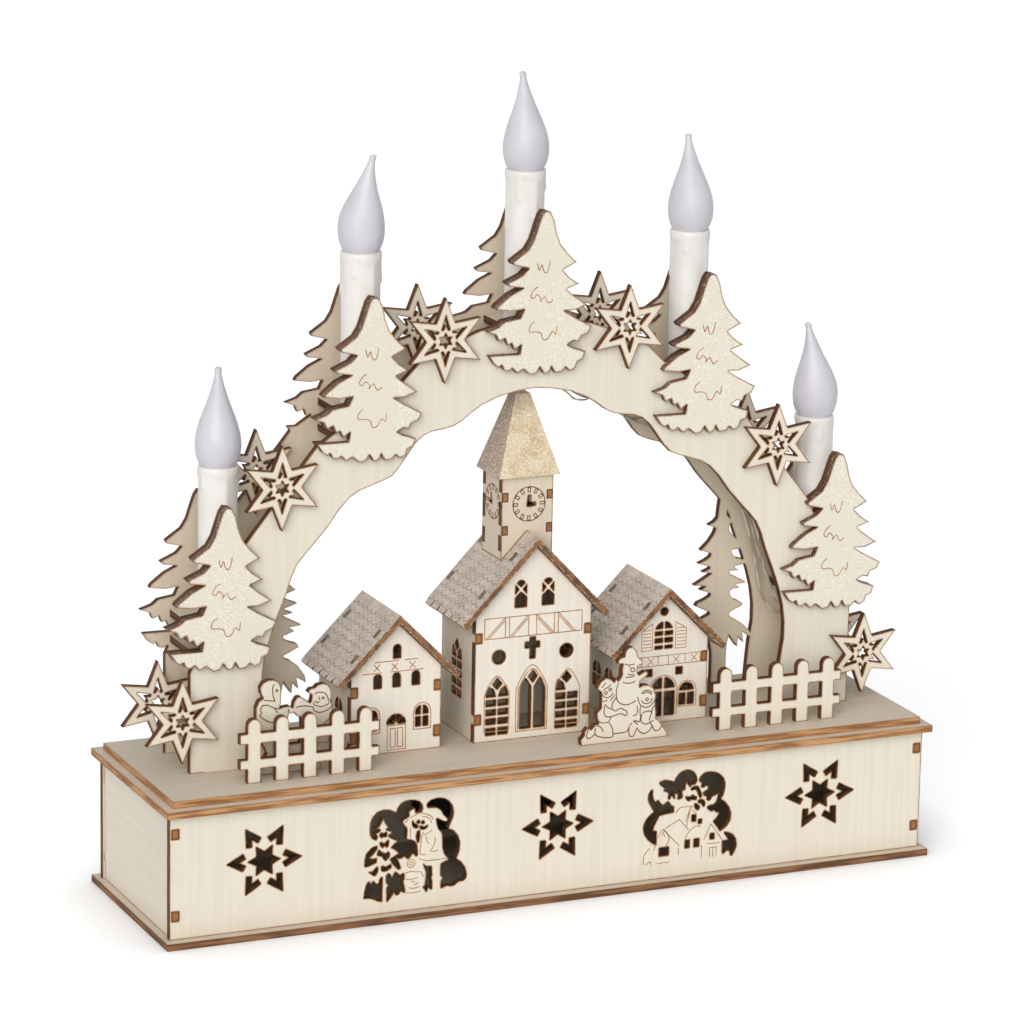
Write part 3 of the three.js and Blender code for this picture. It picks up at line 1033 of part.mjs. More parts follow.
function addLightString() {
  const caseSide = -BATTERY_DOOR_WIDTH / 2 - SWITCH_CLEARANCE;
  const caseY = BACK_PANEL_Y - BATTERY_CASE_DEPTH / 2 - PLY / 2;
  const caseOutlet = PANEL_FOOT + BATTERY_DOOR_SILL + 8;
  const floor = PANEL_FOOT + WIRE_RADIUS + 0.3;
  const boxRun = wireAlong([
    [caseSide, caseY, caseOutlet], [caseSide - 8, caseY, caseOutlet - 2], [-60, caseY - 4, floor + 4],
    [-110, 20, floor + 1.5], [-WIRE_TURN_X, 2, floor + 0.5], [-125, WIRE_FRONT_Y, floor],
    ...BOX_BULB_X.slice(1, 4).map((x) => [x, WIRE_FRONT_Y, floor]),
    [125, WIRE_FRONT_Y, floor], [WIRE_TURN_X, -2, floor + 1.5], [WIRE_RISE_X, WIRE_Y, floor + 16],
  ], 26);
  const under = CANDLE_PLACES.map(([x, z]) => [x, WIRE_Y, STAGE_TOP + z - PLY - WIRE_DROP]);
  const spans = WIRE_SPANS.map((span) => span.map(([x, z]) => [x, WIRE_Y, STAGE_TOP + z]));
  const columnTop = under[4][2] + WIRE_RADIUS;
  const column = prism(circlePoints(WIRE_RISE_X, WIRE_Y, WIRE_RADIUS, WIRE_SIDES), floor + 15, columnTop);
  const archRun = wireAlong(
    [
      under[4], ...spans[0], under[3], ...spans[1], under[2], ...spans[2], under[1], ...spans[3], under[0],
    ],
    40,
  );
  const risers = CANDLE_PLACES.flatMap(([x, z], i) => {
    const shelf = STAGE_TOP + z;
    const top = shelf + SLEEVE_LENGTH - 2;
    const height = under[i][2];
    const bend = wireAlong([
      [x, WIRE_Y, height], [x, WIRE_Y - WIRE_DROP, height - 0.3], [x, CANDLE_Y + 1.5, height + 0.6],
      [x, CANDLE_Y, shelf - PLY - 1],
    ], 5);
    const rise = prism(circlePoints(x, CANDLE_Y, WIRE_RADIUS, WIRE_SIDES), shelf - PLY - 2, top);
    return [bend, rise, bulb().translate(x, CANDLE_Y, top - 1)];
  });
  const boxBulbs = BOX_BULB_X.map((x) => (
    bulb().rotateX(Math.PI / 2).translate(x, WIRE_FRONT_Y, PANEL_FOOT + BULB_RADIUS + 0.3)
  ));
  addPart("light_string", "wire", joined([boxRun, column, archRun, ...risers, ...boxBulbs]));
}

addBox();
addBatteryParts();
addArch();
addCandles();
addVillage();
addLightString();

export default model;
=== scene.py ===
"""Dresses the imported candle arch: burnt plywood, glitter coats, candles, engraved lines and soft light."""

import math

import bpy
from mathutils import Matrix, Vector


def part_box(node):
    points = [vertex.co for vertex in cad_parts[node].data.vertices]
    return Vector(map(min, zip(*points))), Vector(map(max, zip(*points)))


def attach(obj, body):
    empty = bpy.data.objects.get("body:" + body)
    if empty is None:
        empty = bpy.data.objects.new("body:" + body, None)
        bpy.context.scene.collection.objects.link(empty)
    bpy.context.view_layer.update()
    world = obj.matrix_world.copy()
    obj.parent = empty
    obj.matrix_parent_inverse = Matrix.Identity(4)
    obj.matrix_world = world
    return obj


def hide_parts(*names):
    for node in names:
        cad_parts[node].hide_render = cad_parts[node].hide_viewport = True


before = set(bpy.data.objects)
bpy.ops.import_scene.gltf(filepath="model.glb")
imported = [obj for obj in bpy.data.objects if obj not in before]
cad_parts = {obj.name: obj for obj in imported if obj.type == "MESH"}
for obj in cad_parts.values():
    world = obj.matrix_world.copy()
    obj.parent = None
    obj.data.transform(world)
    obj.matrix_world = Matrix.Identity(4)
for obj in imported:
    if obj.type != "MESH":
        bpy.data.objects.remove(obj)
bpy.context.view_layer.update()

MM = 0.001
# Lengths are in millimetres, except where MM or a comment says otherwise
PLY = 3.0
STAGE_TOP = 62.0
PROUD = 0.05

# Camera as solved from the photograph
CAMERA_PLACE = (-786.08, -1752.99, 648.69)
CAMERA_YAW_DEG = 24.02846
CAMERA_PITCH_DEG = 14.33895
CAMERA_ROLL_DEG = 1.08798
FOCAL_PIXELS = 4711.57
IMAGE_PIXELS = 1024
SENSOR_WIDTH = 36.0
CLIP_END_METRES = 100

# Light
WORLD_STRENGTH = 0.34
SUN_STRENGTH = 2.45
SUN_FROM = (-0.52, -0.75, 0.41)
SUN_ANGLE_DEG = 55
SUN_COLOUR = (1.0, 0.99, 0.975)
WHITE = (1, 1, 1, 1)
FLOOR_COLOUR = (0.86, 0.86, 0.87, 1.0)
FLOOR_GLOW = 0.52
FLOOR_REACH_METRES = 14.0

# Shader sampling, with the reach of the painted shade on the floor and in corners
BEVEL_SAMPLES = 4
SHADE_SAMPLES = 4
CONTACT_REACH = 45 * MM
CORNER_REACH = 30 * MM


def linear(red, green, blue):
    """Colour for a shader from the usual 0 to 255 values."""
    def one(value):
        share = value / 255
        return share / 12.92 if share <= 0.04045 else ((share + 0.055) / 1.055) ** 2.4
    return (one(red), one(green), one(blue), 1.0)


def darker(colour, share):
    return tuple(value * share for value in colour[:3]) + (1.0,)


# Wood
FACE = linear(233, 225, 208)
HOUSE_FACE = linear(240, 232, 219)
# Painted shade: the back arch panel's board colour is darker and browner, for the shade the front panel casts on
# it
SHADED_BACK_PANEL_FACE = linear(216, 203, 182)
LYING_FACE = linear(222, 210, 192)
TOWER_FACE = linear(222, 209, 187)
LYING_EDGE = linear(200, 154, 106)
LYING_EDGE_DARK = linear(146, 100, 62)
BASE_EDGE = linear(150, 108, 76)
BASE_EDGE_DARK = linear(96, 64, 44)
TAB_END = linear(168, 118, 72)
TAB_END_DARK = linear(138, 92, 54)
ROOF_END = linear(142, 96, 60)
ROOF_END_DARK = linear(88, 56, 35)
ROOF_END_RIM = linear(76, 46, 28)

# Burn marks, from a halo on the face to the soot of a cut, with the brown of painted shade in corners and between
# boards beside them
HALO = linear(206, 166, 118)
LINE = linear(118, 72, 38)
PAINTED_SHADE_BROWN = linear(112, 82, 54)
BURNT = linear(104, 64, 36)
BURNT_DARK = linear(64, 36, 18)

# Glitter
GOLD_SPECK = linear(236, 216, 162)
SNOW = linear(231, 223, 205)
# Painted glints of the snow glitter
SNOW_PAINTED_GLINT = linear(252, 249, 240)
SNOW_SHADE = linear(206, 192, 164)
FROST_SPECK = linear(214, 200, 160)

# Noise sizes along X, Y and Z in cycles per metre
GRAIN_UP = (420, 420, 14)
GRAIN_ALONG = (14, 420, 420)
GRAIN_DEEP = (420, 14, 420)
HOLDER_GRAIN = (300, 14, 300)
LAYERS_BY_X = (700, 60, 60)
LAYERS_BY_Y = (60, 700, 60)
LAYERS_BY_Z = (50, 50, 700)
CLOUD_CELLS = (28, 28, 28)
HEAT_CELLS = (190, 190, 190)
BLOTCH_CELLS = (130, 130, 130)
ROOF_LAYER_CELLS = (160, 160, 160)
SNOW_COAT_CELLS = (55, 55, 45)
SNOW_SOOT_CELLS = (420, 420, 90)
MOTTLE_CELLS = (90, 90, 60)
SKIN_CELLS = (900, 900, 900)
BURN_LINE_CELLS = (260, 260, 260)
STREAK_CELLS = (160, 160, 160)
GLITTER_CELLS = 2600.0

# Widths of the marks along an edge
BOARD_RIM = 1.3 * MM
GLITTER_RIM = 1.4 * MM
SNOW_RIM = 1.6 * MM
SNOW_WIDE_RIM = 6.0 * MM

ACROSS, UP, BESIDE = (0.0, 1.0, 0.0), (0.0, 0.0, 1.0), (1.0, 0.0, 0.0)
SQUARE_ON = 0.9


# Shader helpers

class Surface:
    """A material with its node tree and a Principled shader at its end."""

    def __init__(self, name):
        self.material = bpy.data.materials.new(name)
        self.material.use_nodes = True
        self.tree = self.material.node_tree
        self.shader = self.tree.nodes["Principled BSDF"]
        self.place = self.add("ShaderNodeTexCoord").outputs["Object"]

    def add(self, kind, settings=None, inputs=None):
        node = self.tree.nodes.new(kind)
        for key, value in (settings or {}).items():
            setattr(node, key, value)
        for key, value in (inputs or {}).items():
            self.feed(node.inputs[key], value)
        return node

    def feed(self, socket, value):
        if isinstance(value, bpy.types.NodeSocket):
            self.tree.links.new(value, socket)
        else:
            socket.default_value = value

    def math(self, operation, first, second=0.0):
        return self.add("ShaderNodeMath", {"operation": operation}, {0: first, 1: second}).outputs[0]

    def mix(self, share, first, second):
        node = self.add("ShaderNodeMix", {"data_type": "RGBA"}, {0: share, 6: first, 7: second})
        return node.outputs[2]

    def ramp(self, value, low, high, out_low=0.0, out_high=1.0):
        node = self.add(
            "ShaderNodeMapRange", {"interpolation_type": "SMOOTHSTEP"},
            {0: value, 1: low, 2: high, 3: out_low, 4: out_high},
        )
        return node.outputs[0]

    def noise(self, stretch, detail=3.0, offset=(0.0, 0.0, 0.0)):
        """Noise whose size along X, Y and Z is given as cycles per metre."""
        mapped = self.add(
            "ShaderNodeMapping", None, {"Vector": self.place, "Scale": stretch, "Location": offset},
        ).outputs[0]
        return self.add("ShaderNodeTexNoise", None, {"Vector": mapped, "Scale": 1.0, "Detail": detail}).outputs[0]

    def local_normal(self):
        """The face normal in the object's own axes, so that it holds when a piece is moved."""
        flat = self.add("ShaderNodeNewGeometry").outputs["True Normal"]
        return self.add(
            "ShaderNodeVectorTransform",
            {"vector_type": "NORMAL", "convert_from": "WORLD", "convert_to": "OBJECT"}, {0: flat},
        ).outputs[0]

    def along(self, normal, axis):
        dot = self.add("ShaderNodeVectorMath", {"operation": "DOT_PRODUCT"}, {0: normal, 1: axis})
        return dot.outputs["Value"]

    def facing(self, normal, axes):
        """1 where the face looks along one of the axes, either way."""
        masks = [self.math("ABSOLUTE", self.along(normal, axis)) for axis in axes]
        broad = masks[0]
        for mask in masks[1:]:
            broad = self.math("MAXIMUM", broad, mask)
        return self.math("GREATER_THAN", broad, SQUARE_ON)

    def near_edge(self, radius):
        """0 inside a flat face, rising towards 1 at its edge."""
        rounded = self.add("ShaderNodeBevel", {"samples": BEVEL_SAMPLES}, {"Radius": radius}).outputs[0]
        flat = self.add("ShaderNodeNewGeometry").outputs["True Normal"]
        dot = self.add("ShaderNodeVectorMath", {"operation": "DOT_PRODUCT"}, {0: rounded, 1: flat})
        return self.ramp(dot.outputs["Value"], 1.0, 0.9)

    def openness(self, reach):
        """1 in the open, falling towards 0 in corners and between boards."""
        node = self.add("ShaderNodeAmbientOcclusion", {"samples": SHADE_SAMPLES}, {"Distance": reach})
        return node.outputs["AO"]

    def flakes(self):
        """Glitter cells: the distance to the middle of each, and its three random shades."""
        cells = self.add("ShaderNodeTexVoronoi", None, {"Vector": self.place, "Scale": GLITTER_CELLS})
        shades = self.add("ShaderNodeSeparateColor", None, {0: cells.outputs["Color"]})
        return cells.outputs["Distance"], shades.outputs

    def bump(self, height, strength, distance):
        node = self.add("ShaderNodeBump", None, {"Strength": strength, "Distance": distance, "Height": height})
        self.feed(self.shader.inputs["Normal"], node.outputs[0])

    def finish(self, colour, roughness):
        self.feed(self.shader.inputs["Base Color"], colour)
        self.feed(self.shader.inputs["Roughness"], roughness)
        return self.material


def plywood(
    name, face_axes, grain, layers, face=FACE, edge=BURNT, edge_dark=BURNT_DARK, end_axes=(), ends_before=None,
):
    """Pale board with a faint grain, scorched lines along its edges, burnt cut sides, brown tab ends and painted
    brown shade in corners and between boards.

    Where ends_before is given, only faces in front of that Y are tab ends, and those behind it are board.
    """
    surface = Surface(name)
    normal = surface.local_normal()
    broad = surface.facing(normal, face_axes)
    if ends_before is not None:
        depth = surface.add("ShaderNodeSeparateXYZ", None, {0: surface.place}).outputs["Y"]
        behind = surface.math("GREATER_THAN", depth, ends_before)
        wall = surface.math("MULTIPLY", surface.facing(normal, end_axes), behind)
        broad = surface.math("MAXIMUM", broad, wall)
    grain_noise = surface.noise(grain)
    cloud = surface.noise(CLOUD_CELLS, 2.0, (3.1, 0.4, 1.7))
    pale = surface.mix(surface.ramp(grain_noise, 0.35, 0.7), face, darker(face, 0.94))
    pale = surface.mix(surface.ramp(cloud, 0.4, 0.75, 0.0, 0.5), pale, darker(face, 0.95))
    rim = surface.near_edge(BOARD_RIM)
    heat = surface.noise(HEAT_CELLS, 3.0, (0.7, 2.2, 0.1))
    pale = surface.mix(surface.ramp(rim, 0.02, 0.5, 0.0, 0.6), pale, HALO)
    scorch = surface.math("MULTIPLY", surface.ramp(rim, 0.35, 0.85), surface.ramp(heat, 0.25, 0.6, 0.35, 0.75))
    pale = surface.mix(scorch, pale, LINE)
    soot = surface.noise(layers, 3.0)
    side = surface.mix(surface.ramp(soot, 0.38, 0.62), edge, edge_dark)
    side = surface.mix(surface.ramp(rim, 0.3, 0.9, 0.0, 0.8), side, edge_dark)
    surface.shader.inputs["Specular IOR Level"].default_value = 0.25
    if end_axes:
        end = surface.mix(surface.ramp(soot, 0.35, 0.65), TAB_END, darker(TAB_END, 0.75))
        end = surface.mix(surface.ramp(rim, 0.25, 0.7), end, BURNT_DARK)
        side = surface.mix(surface.facing(normal, end_axes), side, end)
    surface.bump(grain_noise, 0.15, 0.2 * MM)
    colour = surface.mix(broad, side, pale)
    # Painted shade: boards turn brown in corners and between boards, where ambient occlusion finds them closed in
    corner_painted_shade = surface.ramp(surface.openness(CORNER_REACH), 0.1, 0.8, 0.38, 0.0)
    colour = surface.mix(corner_painted_shade, colour, PAINTED_SHADE_BROWN)
    return surface.finish(colour, surface.ramp(grain_noise, 0.2, 0.8, 0.62, 0.78))


def glitter(name, base, dark, painted_glint, left_painted_shade=None, ends=True):
    """A rough coat of glitter with bright flakes as painted glints, and a darker colour on the left side as
    painted shade where that is given.

    Where ends is set, the board has bare burnt ends and a bare underside.
    """
    surface = Surface(name)
    normal = surface.local_normal()
    middle, shades = surface.flakes()
    blotch = surface.noise(BLOTCH_CELLS, 4.0)
    colour = surface.mix(surface.ramp(blotch, 0.35, 0.7, 0.0, 0.7), base, dark)
    # Painted shade: faces turned to the left take a darker colour
    if left_painted_shade:
        left = surface.ramp(surface.along(normal, (-1.0, 0.0, 0.0)), 0.3, 0.6)
        colour = surface.mix(left, colour, left_painted_shade)
    # Painted glints: random bright flakes in the colour
    colour = surface.mix(surface.ramp(shades[0], 0.55, 1.0, 0.0, 0.75), colour, painted_glint)
    colour = surface.mix(surface.ramp(shades[1], 0.6, 1.0, 0.0, 0.5), colour, dark)
    if ends:
        rim = surface.near_edge(GLITTER_RIM)
        under = surface.math("LESS_THAN", surface.along(normal, UP), -0.2)
        bare = surface.math("MAXIMUM", surface.facing(normal, [ACROSS]), under)
        layers = surface.noise(ROOF_LAYER_CELLS, 2.0, (1.3, 0.2, 0.9))
        side = surface.mix(surface.ramp(layers, 0.4, 0.62), ROOF_END, ROOF_END_DARK)
        side = surface.mix(surface.ramp(rim, 0.2, 0.75), side, ROOF_END_RIM)
        speck = surface.math("MULTIPLY", surface.ramp(shades[2], 0.58, 0.85), surface.ramp(rim, 0.08, 0.5))
        side = surface.mix(speck, side, GOLD_SPECK)
        colour = surface.mix(bare, colour, side)
    surface.bump(middle, 0.4, 0.3 * MM)
    return surface.finish(colour, surface.ramp(shades[0], 0.2, 0.9, 0.65, 0.3))


def snow_glitter():
    """White glitter on a tree board, with bright flakes as painted glints, thicker at the bough tips, bare burnt
    sides.
    """
    surface = Surface("snow_glitter")
    normal = surface.local_normal()
    middle, shades = surface.flakes()
    coat = surface.noise(SNOW_COAT_CELLS, 4.0)
    # Painted glints: random bright flakes
    snow = surface.mix(surface.ramp(shades[0], 0.5, 1.0, 0.0, 0.9), SNOW, SNOW_PAINTED_GLINT)
    snow = surface.mix(surface.ramp(shades[1], 0.72, 1.0, 0.0, 0.4), snow, SNOW_SHADE)
    wide_rim = surface.near_edge(SNOW_WIDE_RIM)
    bare = surface.ramp(surface.math("SUBTRACT", coat, surface.math("MULTIPLY", wide_rim, 0.5)), 0.42, 0.6)
    colour = surface.mix(bare, snow, FACE)
    rim = surface.near_edge(SNOW_RIM)
    colour = surface.mix(surface.ramp(rim, 0.3, 0.85, 0.0, 0.8), colour, LINE)
    soot = surface.noise(SNOW_SOOT_CELLS, 4.0)
    side = surface.mix(surface.ramp(soot, 0.3, 0.7), BURNT, BURNT_DARK)
    side = surface.mix(surface.ramp(shades[2], 0.88, 1.0), side, FROST_SPECK)
    surface.bump(middle, 0.35, 0.3 * MM)
    face = surface.facing(normal, [ACROSS])
    return surface.finish(surface.mix(face, side, colour), surface.ramp(shades[0], 0.2, 0.9, 0.7, 0.35))


def moulded(name, colour, roughness, shade, subsurface=0.0):
    """Moulded plastic with a faint mottle."""
    surface = Surface(name)
    mottle = surface.noise(MOTTLE_CELLS, 3.0)
    surface.shader.inputs["Subsurface Weight"].default_value = subsurface
    surface.shader.inputs["Subsurface Radius"].default_value = (4 * MM, 4 * MM, 4 * MM)
    surface.bump(surface.noise(SKIN_CELLS, 2.0), 0.08, 0.1 * MM)
    return surface.finish(
        surface.mix(surface.ramp(mottle, 0.35, 0.7), colour, shade),
        surface.ramp(mottle, 0.2, 0.8, roughness, roughness + 0.1),
    )


def burn_line(name, dark, pale):
    """The brown of an engraved line, uneven along its way."""
    surface = Surface(name)
    heat = surface.noise(BURN_LINE_CELLS, 3.0)
    return surface.finish(surface.mix(surface.ramp(heat, 0.3, 0.7), dark, pale), 0.8)


# Mesh helpers

def new_object(name, data):
    made = bpy.data.objects.new(name, data)
    bpy.context.scene.collection.objects.link(made)
    return made


def add_mesh(name, points, faces, material, smooth=False, body="main", replaces=()):
    """A mesh from points in millimetres that rides on a body."""
    mesh = bpy.data.meshes.new(name)
    mesh.from_pydata([tuple(c * MM for c in point) for point in points], [], faces)
    mesh.validate()
    mesh.update()
    piece = new_object(name, mesh)
    mesh.materials.append(material)
    mesh.shade_smooth() if smooth else mesh.shade_flat()
    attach(piece, body)
    if replaces:
        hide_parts(*replaces)
    return piece


def smoothed(points, steps):
    """Catmull-Rom curve through the points, with that many steps from one to the next."""
    last = len(points) - 1
    result = []
    for i in range(last):
        four = [points[min(max(i + k, 0), last)] for k in (-1, 0, 1, 2)]
        for s in range(steps):
            t = s / steps
            result.append(tuple(
                0.5 * (
                    2 * b + (c - a) * t + (2 * a - 5 * b + 4 * c - d) * t * t + (3 * b - a - 3 * c + d) * t ** 3
                )
                for a, b, c, d in zip(*four)
            ))
    result.append(points[-1])
    return result


def ribbon(points, width, closed=False):
    """Flat strip along a line in the plane: its points and its faces."""
    line = [Vector(point) for point in points]
    count = len(line)
    edge = []
    for i, here in enumerate(line):
        before = line[i - 1] if closed or i else None
        after = line[(i + 1) % count] if closed or i < count - 1 else None
        ahead = (after - here).normalized() if after is not None else (here - before).normalized()
        behind = (here - before).normalized() if before is not None else ahead
        middle = ahead + behind
        if middle.length < 1e-6:
            middle = Vector((-ahead.y, ahead.x))
        middle.normalize()
        side = Vector((-middle.y, middle.x))
        reach = width / 2 / max(abs(side.dot(Vector((-ahead.y, ahead.x)))), 0.5)
        edge.append((here + side * reach, here - side * reach))
    flat = [tuple(point) for pair in edge for point in pair]
    last = count if closed else count - 1
    faces = [(2 * i, 2 * i + 1, 2 * ((i + 1) % count) + 1, 2 * ((i + 1) % count)) for i in range(last)]
    return flat, faces


def engraving(name, lines, level, material, width, beside=False):
    """Burnt lines on a board that faces the front or, where beside is set, the left side.

    Each line is (points, closed), and its points are X or Y, and Z.
    """
    points, faces = [], []
    for line, closed in lines:
        flat, strips = ribbon(line, width, closed)
        start = len(points)
        points += [(level, a, z) if beside else (a, level, z) for a, z in flat]
        faces += [tuple(start + k for k in face) for face in strips]
    return add_mesh(name, points, faces, material)


ARCH_STEPS = 16


def straight(x0, z0, x1, z1):
    return [(x0, z0), (x1, z1)], False


def frame_line(x0, x1, z0, z1):
    return [(x0, z0), (x1, z0), (x1, z1), (x0, z1)], True


def arch_line(x0, x1, foot, spring, rise, pointed=False):
    """Outline over an opening with a round or pointed head, open at the foot."""
    middle = (x0 + x1) / 2
    half = (x1 - x0) / 2
    points = [(x0, foot), (x0, spring)]
    for i in range(1, ARCH_STEPS):
        share = i / ARCH_STEPS
        x = x0 + 2 * half * share
        away = abs(x - middle) / half
        lift = (1 - away ** 1.7) if pointed else math.sqrt(max(1 - away * away, 0))
        points.append((x, spring + rise * lift))
    points += [(x1, spring), (x1, foot)]
    return points, False


# Boards

# From the back of a shell to just in front of its back wall
BACK_WALL = 3.4 * MM


def dress_boards():
    upright = plywood("plywood_front", [ACROSS], GRAIN_UP, LAYERS_BY_Y)
    house = plywood("plywood_house", [ACROSS], GRAIN_UP, LAYERS_BY_Y, HOUSE_FACE)
    # Painted shade: the back arch panel gets its darker board colour
    shaded = plywood("plywood_back_panel_painted_shade", [ACROSS], GRAIN_UP, LAYERS_BY_Y, SHADED_BACK_PANEL_FACE)
    lying = plywood("plywood_lying", [UP], GRAIN_ALONG, LAYERS_BY_Z, LYING_FACE, LYING_EDGE, LYING_EDGE_DARK)
    base = plywood("plywood_base", [UP], GRAIN_ALONG, LAYERS_BY_Z, LYING_FACE, BASE_EDGE, BASE_EDGE_DARK)
    sideways = plywood("plywood_side", [BESIDE], GRAIN_DEEP, LAYERS_BY_X, end_axes=[ACROSS])
    tower = plywood("plywood_tower", [ACROSS, BESIDE], GRAIN_UP, LAYERS_BY_Y, TOWER_FACE)
    holder = plywood("plywood_holder", [UP], HOLDER_GRAIN, LAYERS_BY_Z)
    for name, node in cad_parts.items():
        if name in ("lid_plate", "stage_plate"):
            put = lying
        elif name == "base_plate":
            put = base
        elif name in ("box_left", "box_right"):
            put = sideways
        elif name.endswith("_shell"):
            back = node.matrix_world.inverted() @ Vector(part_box(name)[1])
            put = plywood(
                "plywood_" + name, [BESIDE], GRAIN_UP, LAYERS_BY_X,
                end_axes=[ACROSS], ends_before=back.y - BACK_WALL,
            )
        elif name == "church_tower":
            put = tower
        elif name.startswith("candle_holder"):
            put = holder
        elif name.endswith("_front") and name.startswith(("church", "left", "right")):
            put = house
        elif name == "arch_back":
            put = shaded
        else:
            put = upright
        set_material(node, put)


def set_material(node, material):
    node.data.materials.clear()
    node.data.materials.append(material)


def dress_coats():
    snow = snow_glitter()
    # The third colour of each glitter is bright flakes as painted glints
    roof = glitter("roof_glitter", linear(206, 192, 178), linear(168, 148, 134), linear(236, 228, 218))
    # The spire's left colour is painted shade on its left faces
    spire = glitter(
        "spire_gold", linear(226, 208, 176), linear(192, 160, 114), linear(255, 251, 236),
        left_painted_shade=linear(166, 140, 120), ends=False,
    )
    for name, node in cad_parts.items():
        if name.startswith("fir_tree"):
            set_material(node, snow)
        elif name.endswith("_roof"):
            set_material(node, roof)
        elif name == "church_spire":
            set_material(node, spire)
        elif name in ("battery_case", "switch_slider"):
            set_material(node, moulded(name + "_black", linear(38, 37, 36), 0.45, linear(46, 45, 44)))


# Candles

FLAME_TURNS_DEG = (70, -24, 91, 88, 125)
FLAME_SIDES = 40
# Radius and height of the cap, from its foot to its tip
FLAME_PROFILE = [
    (6.7, -0.4), (7.3, 0.2), (8.3, 1.8), (9.2, 4.6), (9.6, 8.0), (9.5, 11.5), (8.9, 15.0), (7.8, 18.6),
    (6.4, 22.2), (5.0, 25.6), (3.8, 28.8), (2.8, 31.8), (2.0, 34.6), (1.5, 36.8), (1.35, 37.8), (1.5, 38.6),
    (1.4, 39.4), (0.8, 39.9),
]
# Sideways bend of the tip, from the height where it starts
TIP_BEND = 4.7
BEND_FOOT = 12
BEND_HEIGHT = 28
BEND_POWER = 1.6
# Shallow folds that turn on the way up, and the height over which they come in
FOLD_SHARE = 0.02
FOLD_TURN_PER_MM = 0.09
FOLD_FADE = 14


def add_flames():
    frosted = moulded("frosted_cap", linear(210, 208, 215), 0.32, linear(203, 200, 209), subsurface=0.35)
    rings = smoothed(FLAME_PROFILE, 4)
    for i, turn_deg in enumerate(FLAME_TURNS_DEG, 1):
        low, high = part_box(f"candle_sleeve_{i}")
        x0, y0, z0 = (low.x + high.x) / 2 / MM, (low.y + high.y) / 2 / MM, high.z / MM
        turn = math.radians(turn_deg)
        points = []
        for radius, height in rings:
            bend = TIP_BEND * (max(height - BEND_FOOT, 0) / BEND_HEIGHT) ** BEND_POWER
            fade = min(max(height / FOLD_FADE, 0), 1)
            for s in range(FLAME_SIDES):
                angle = 2 * math.pi * s / FLAME_SIDES
                fold = 1 + FOLD_SHARE * math.sin(2 * angle + height * FOLD_TURN_PER_MM) * fade
                x = bend + radius * fold * math.cos(angle)
                y = radius * fold * math.sin(angle)
                c, n = math.cos(turn), math.sin(turn)
                points.append((x0 + x * c - y * n, y0 + x * n + y * c, z0 + height))
        faces = lathe_faces(len(rings), FLAME_SIDES)
        faces.append(tuple(range((len(rings) - 1) * FLAME_SIDES, len(rings) * FLAME_SIDES)))
        add_mesh(
            f"flame_cap_{i}", points, faces, frosted, smooth=True,
            replaces=(f"candle_flame_{i}",),
        )


def lathe_faces(rings, sides):
    return [
        (r * sides + s, r * sides + (s + 1) % sides, (r + 1) * sides + (s + 1) % sides, (r + 1) * sides + s)
        for r in range(rings - 1) for s in range(sides)
    ]


SLEEVE_COUNT = 5
SLEEVE_LENGTH = 75.5
SLEEVE_RADIUS = 8.1
SLEEVE_BORE = 7.0
SLEEVE_SIDES = 72
SLEEVE_ROWS = 90
# Angle, length and angular width of each drip
DRIPS = [
    (0.4, 17.0, 0.34), (1.5, 9.0, 0.3), (2.5, 24.0, 0.36), (3.4, 12.0, 0.28), (4.3, 19.0, 0.34), (5.4, 8.0, 0.3),
]
DRIP_TURN = 1.9
# Wax along the rim: how far it stands out, the depth of its middle, its wave and its spread
RIM_PROUD = 0.55
RIM_DEPTH = 2.0
RIM_WAVE = 0.8
RIM_SPREAD = 1.9
# Wax of a drip at its top, what it gains on the way down, and the spread of the bead at its end
DRIP_PROUD = 0.42
DRIP_GAIN = 0.3
BEAD_SPREAD = 1.0
WAX_MOST = 0.75


def add_sleeves():
    """Sleeves with a rim of wax at the top and drips running down."""
    wax = moulded("candle_wax", linear(233, 230, 226), 0.34, linear(226, 222, 216), subsurface=0.1)
    wall = [(SLEEVE_RADIUS, SLEEVE_LENGTH * r / SLEEVE_ROWS) for r in range(SLEEVE_ROWS + 1)]
    profile = [(SLEEVE_BORE, 0.0)] + wall + [(SLEEVE_BORE, SLEEVE_LENGTH)]
    for i in range(1, SLEEVE_COUNT + 1):
        low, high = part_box(f"candle_sleeve_{i}")
        x0, y0, z0 = (low.x + high.x) / 2 / MM, (low.y + high.y) / 2 / MM, low.z / MM
        points = []
        for radius, height in profile:
            for s in range(SLEEVE_SIDES):
                angle = 2 * math.pi * s / SLEEVE_SIDES
                inside = radius < SLEEVE_RADIUS
                proud = 0.0 if inside else wax_height(angle + i * DRIP_TURN, SLEEVE_LENGTH - height)
                reach = radius + proud
                points.append((x0 + reach * math.cos(angle), y0 + reach * math.sin(angle), z0 + height))
        add_mesh(
            f"candle_tube_{i}", points, lathe_faces(len(profile), SLEEVE_SIDES), wax, smooth=True,
            replaces=(f"candle_sleeve_{i}",),
        )


def wax_height(angle, depth):
    """How far the wax stands out at an angle and a depth below the rim."""
    proud = RIM_PROUD * math.exp(-((depth - RIM_DEPTH - RIM_WAVE * math.sin(3 * angle)) / RIM_SPREAD) ** 2)
    for middle, length, width in DRIPS:
        away = (angle - middle + math.pi) % (2 * math.pi) - math.pi
        across = math.exp(-(away / (width * 0.5)) ** 2)
        if depth < length:
            run = DRIP_PROUD + DRIP_GAIN * (depth / length) ** 3
        else:
            run = (DRIP_PROUD + DRIP_GAIN) * math.exp(-((depth - length) / BEAD_SPREAD) ** 2)
        proud = max(proud, across * run)
    return min(proud, WAX_MOST)


# Light string

STRAND_RADIUS = 0.4
# First strand in front of the back panel, the step to each next one, and their weave in depth
STRAND_GAP = 1.2
STRAND_STEP = 1.6
WEAVE_DEPTH = 0.8
WEAVE_TURN_PER_MM = 0.09
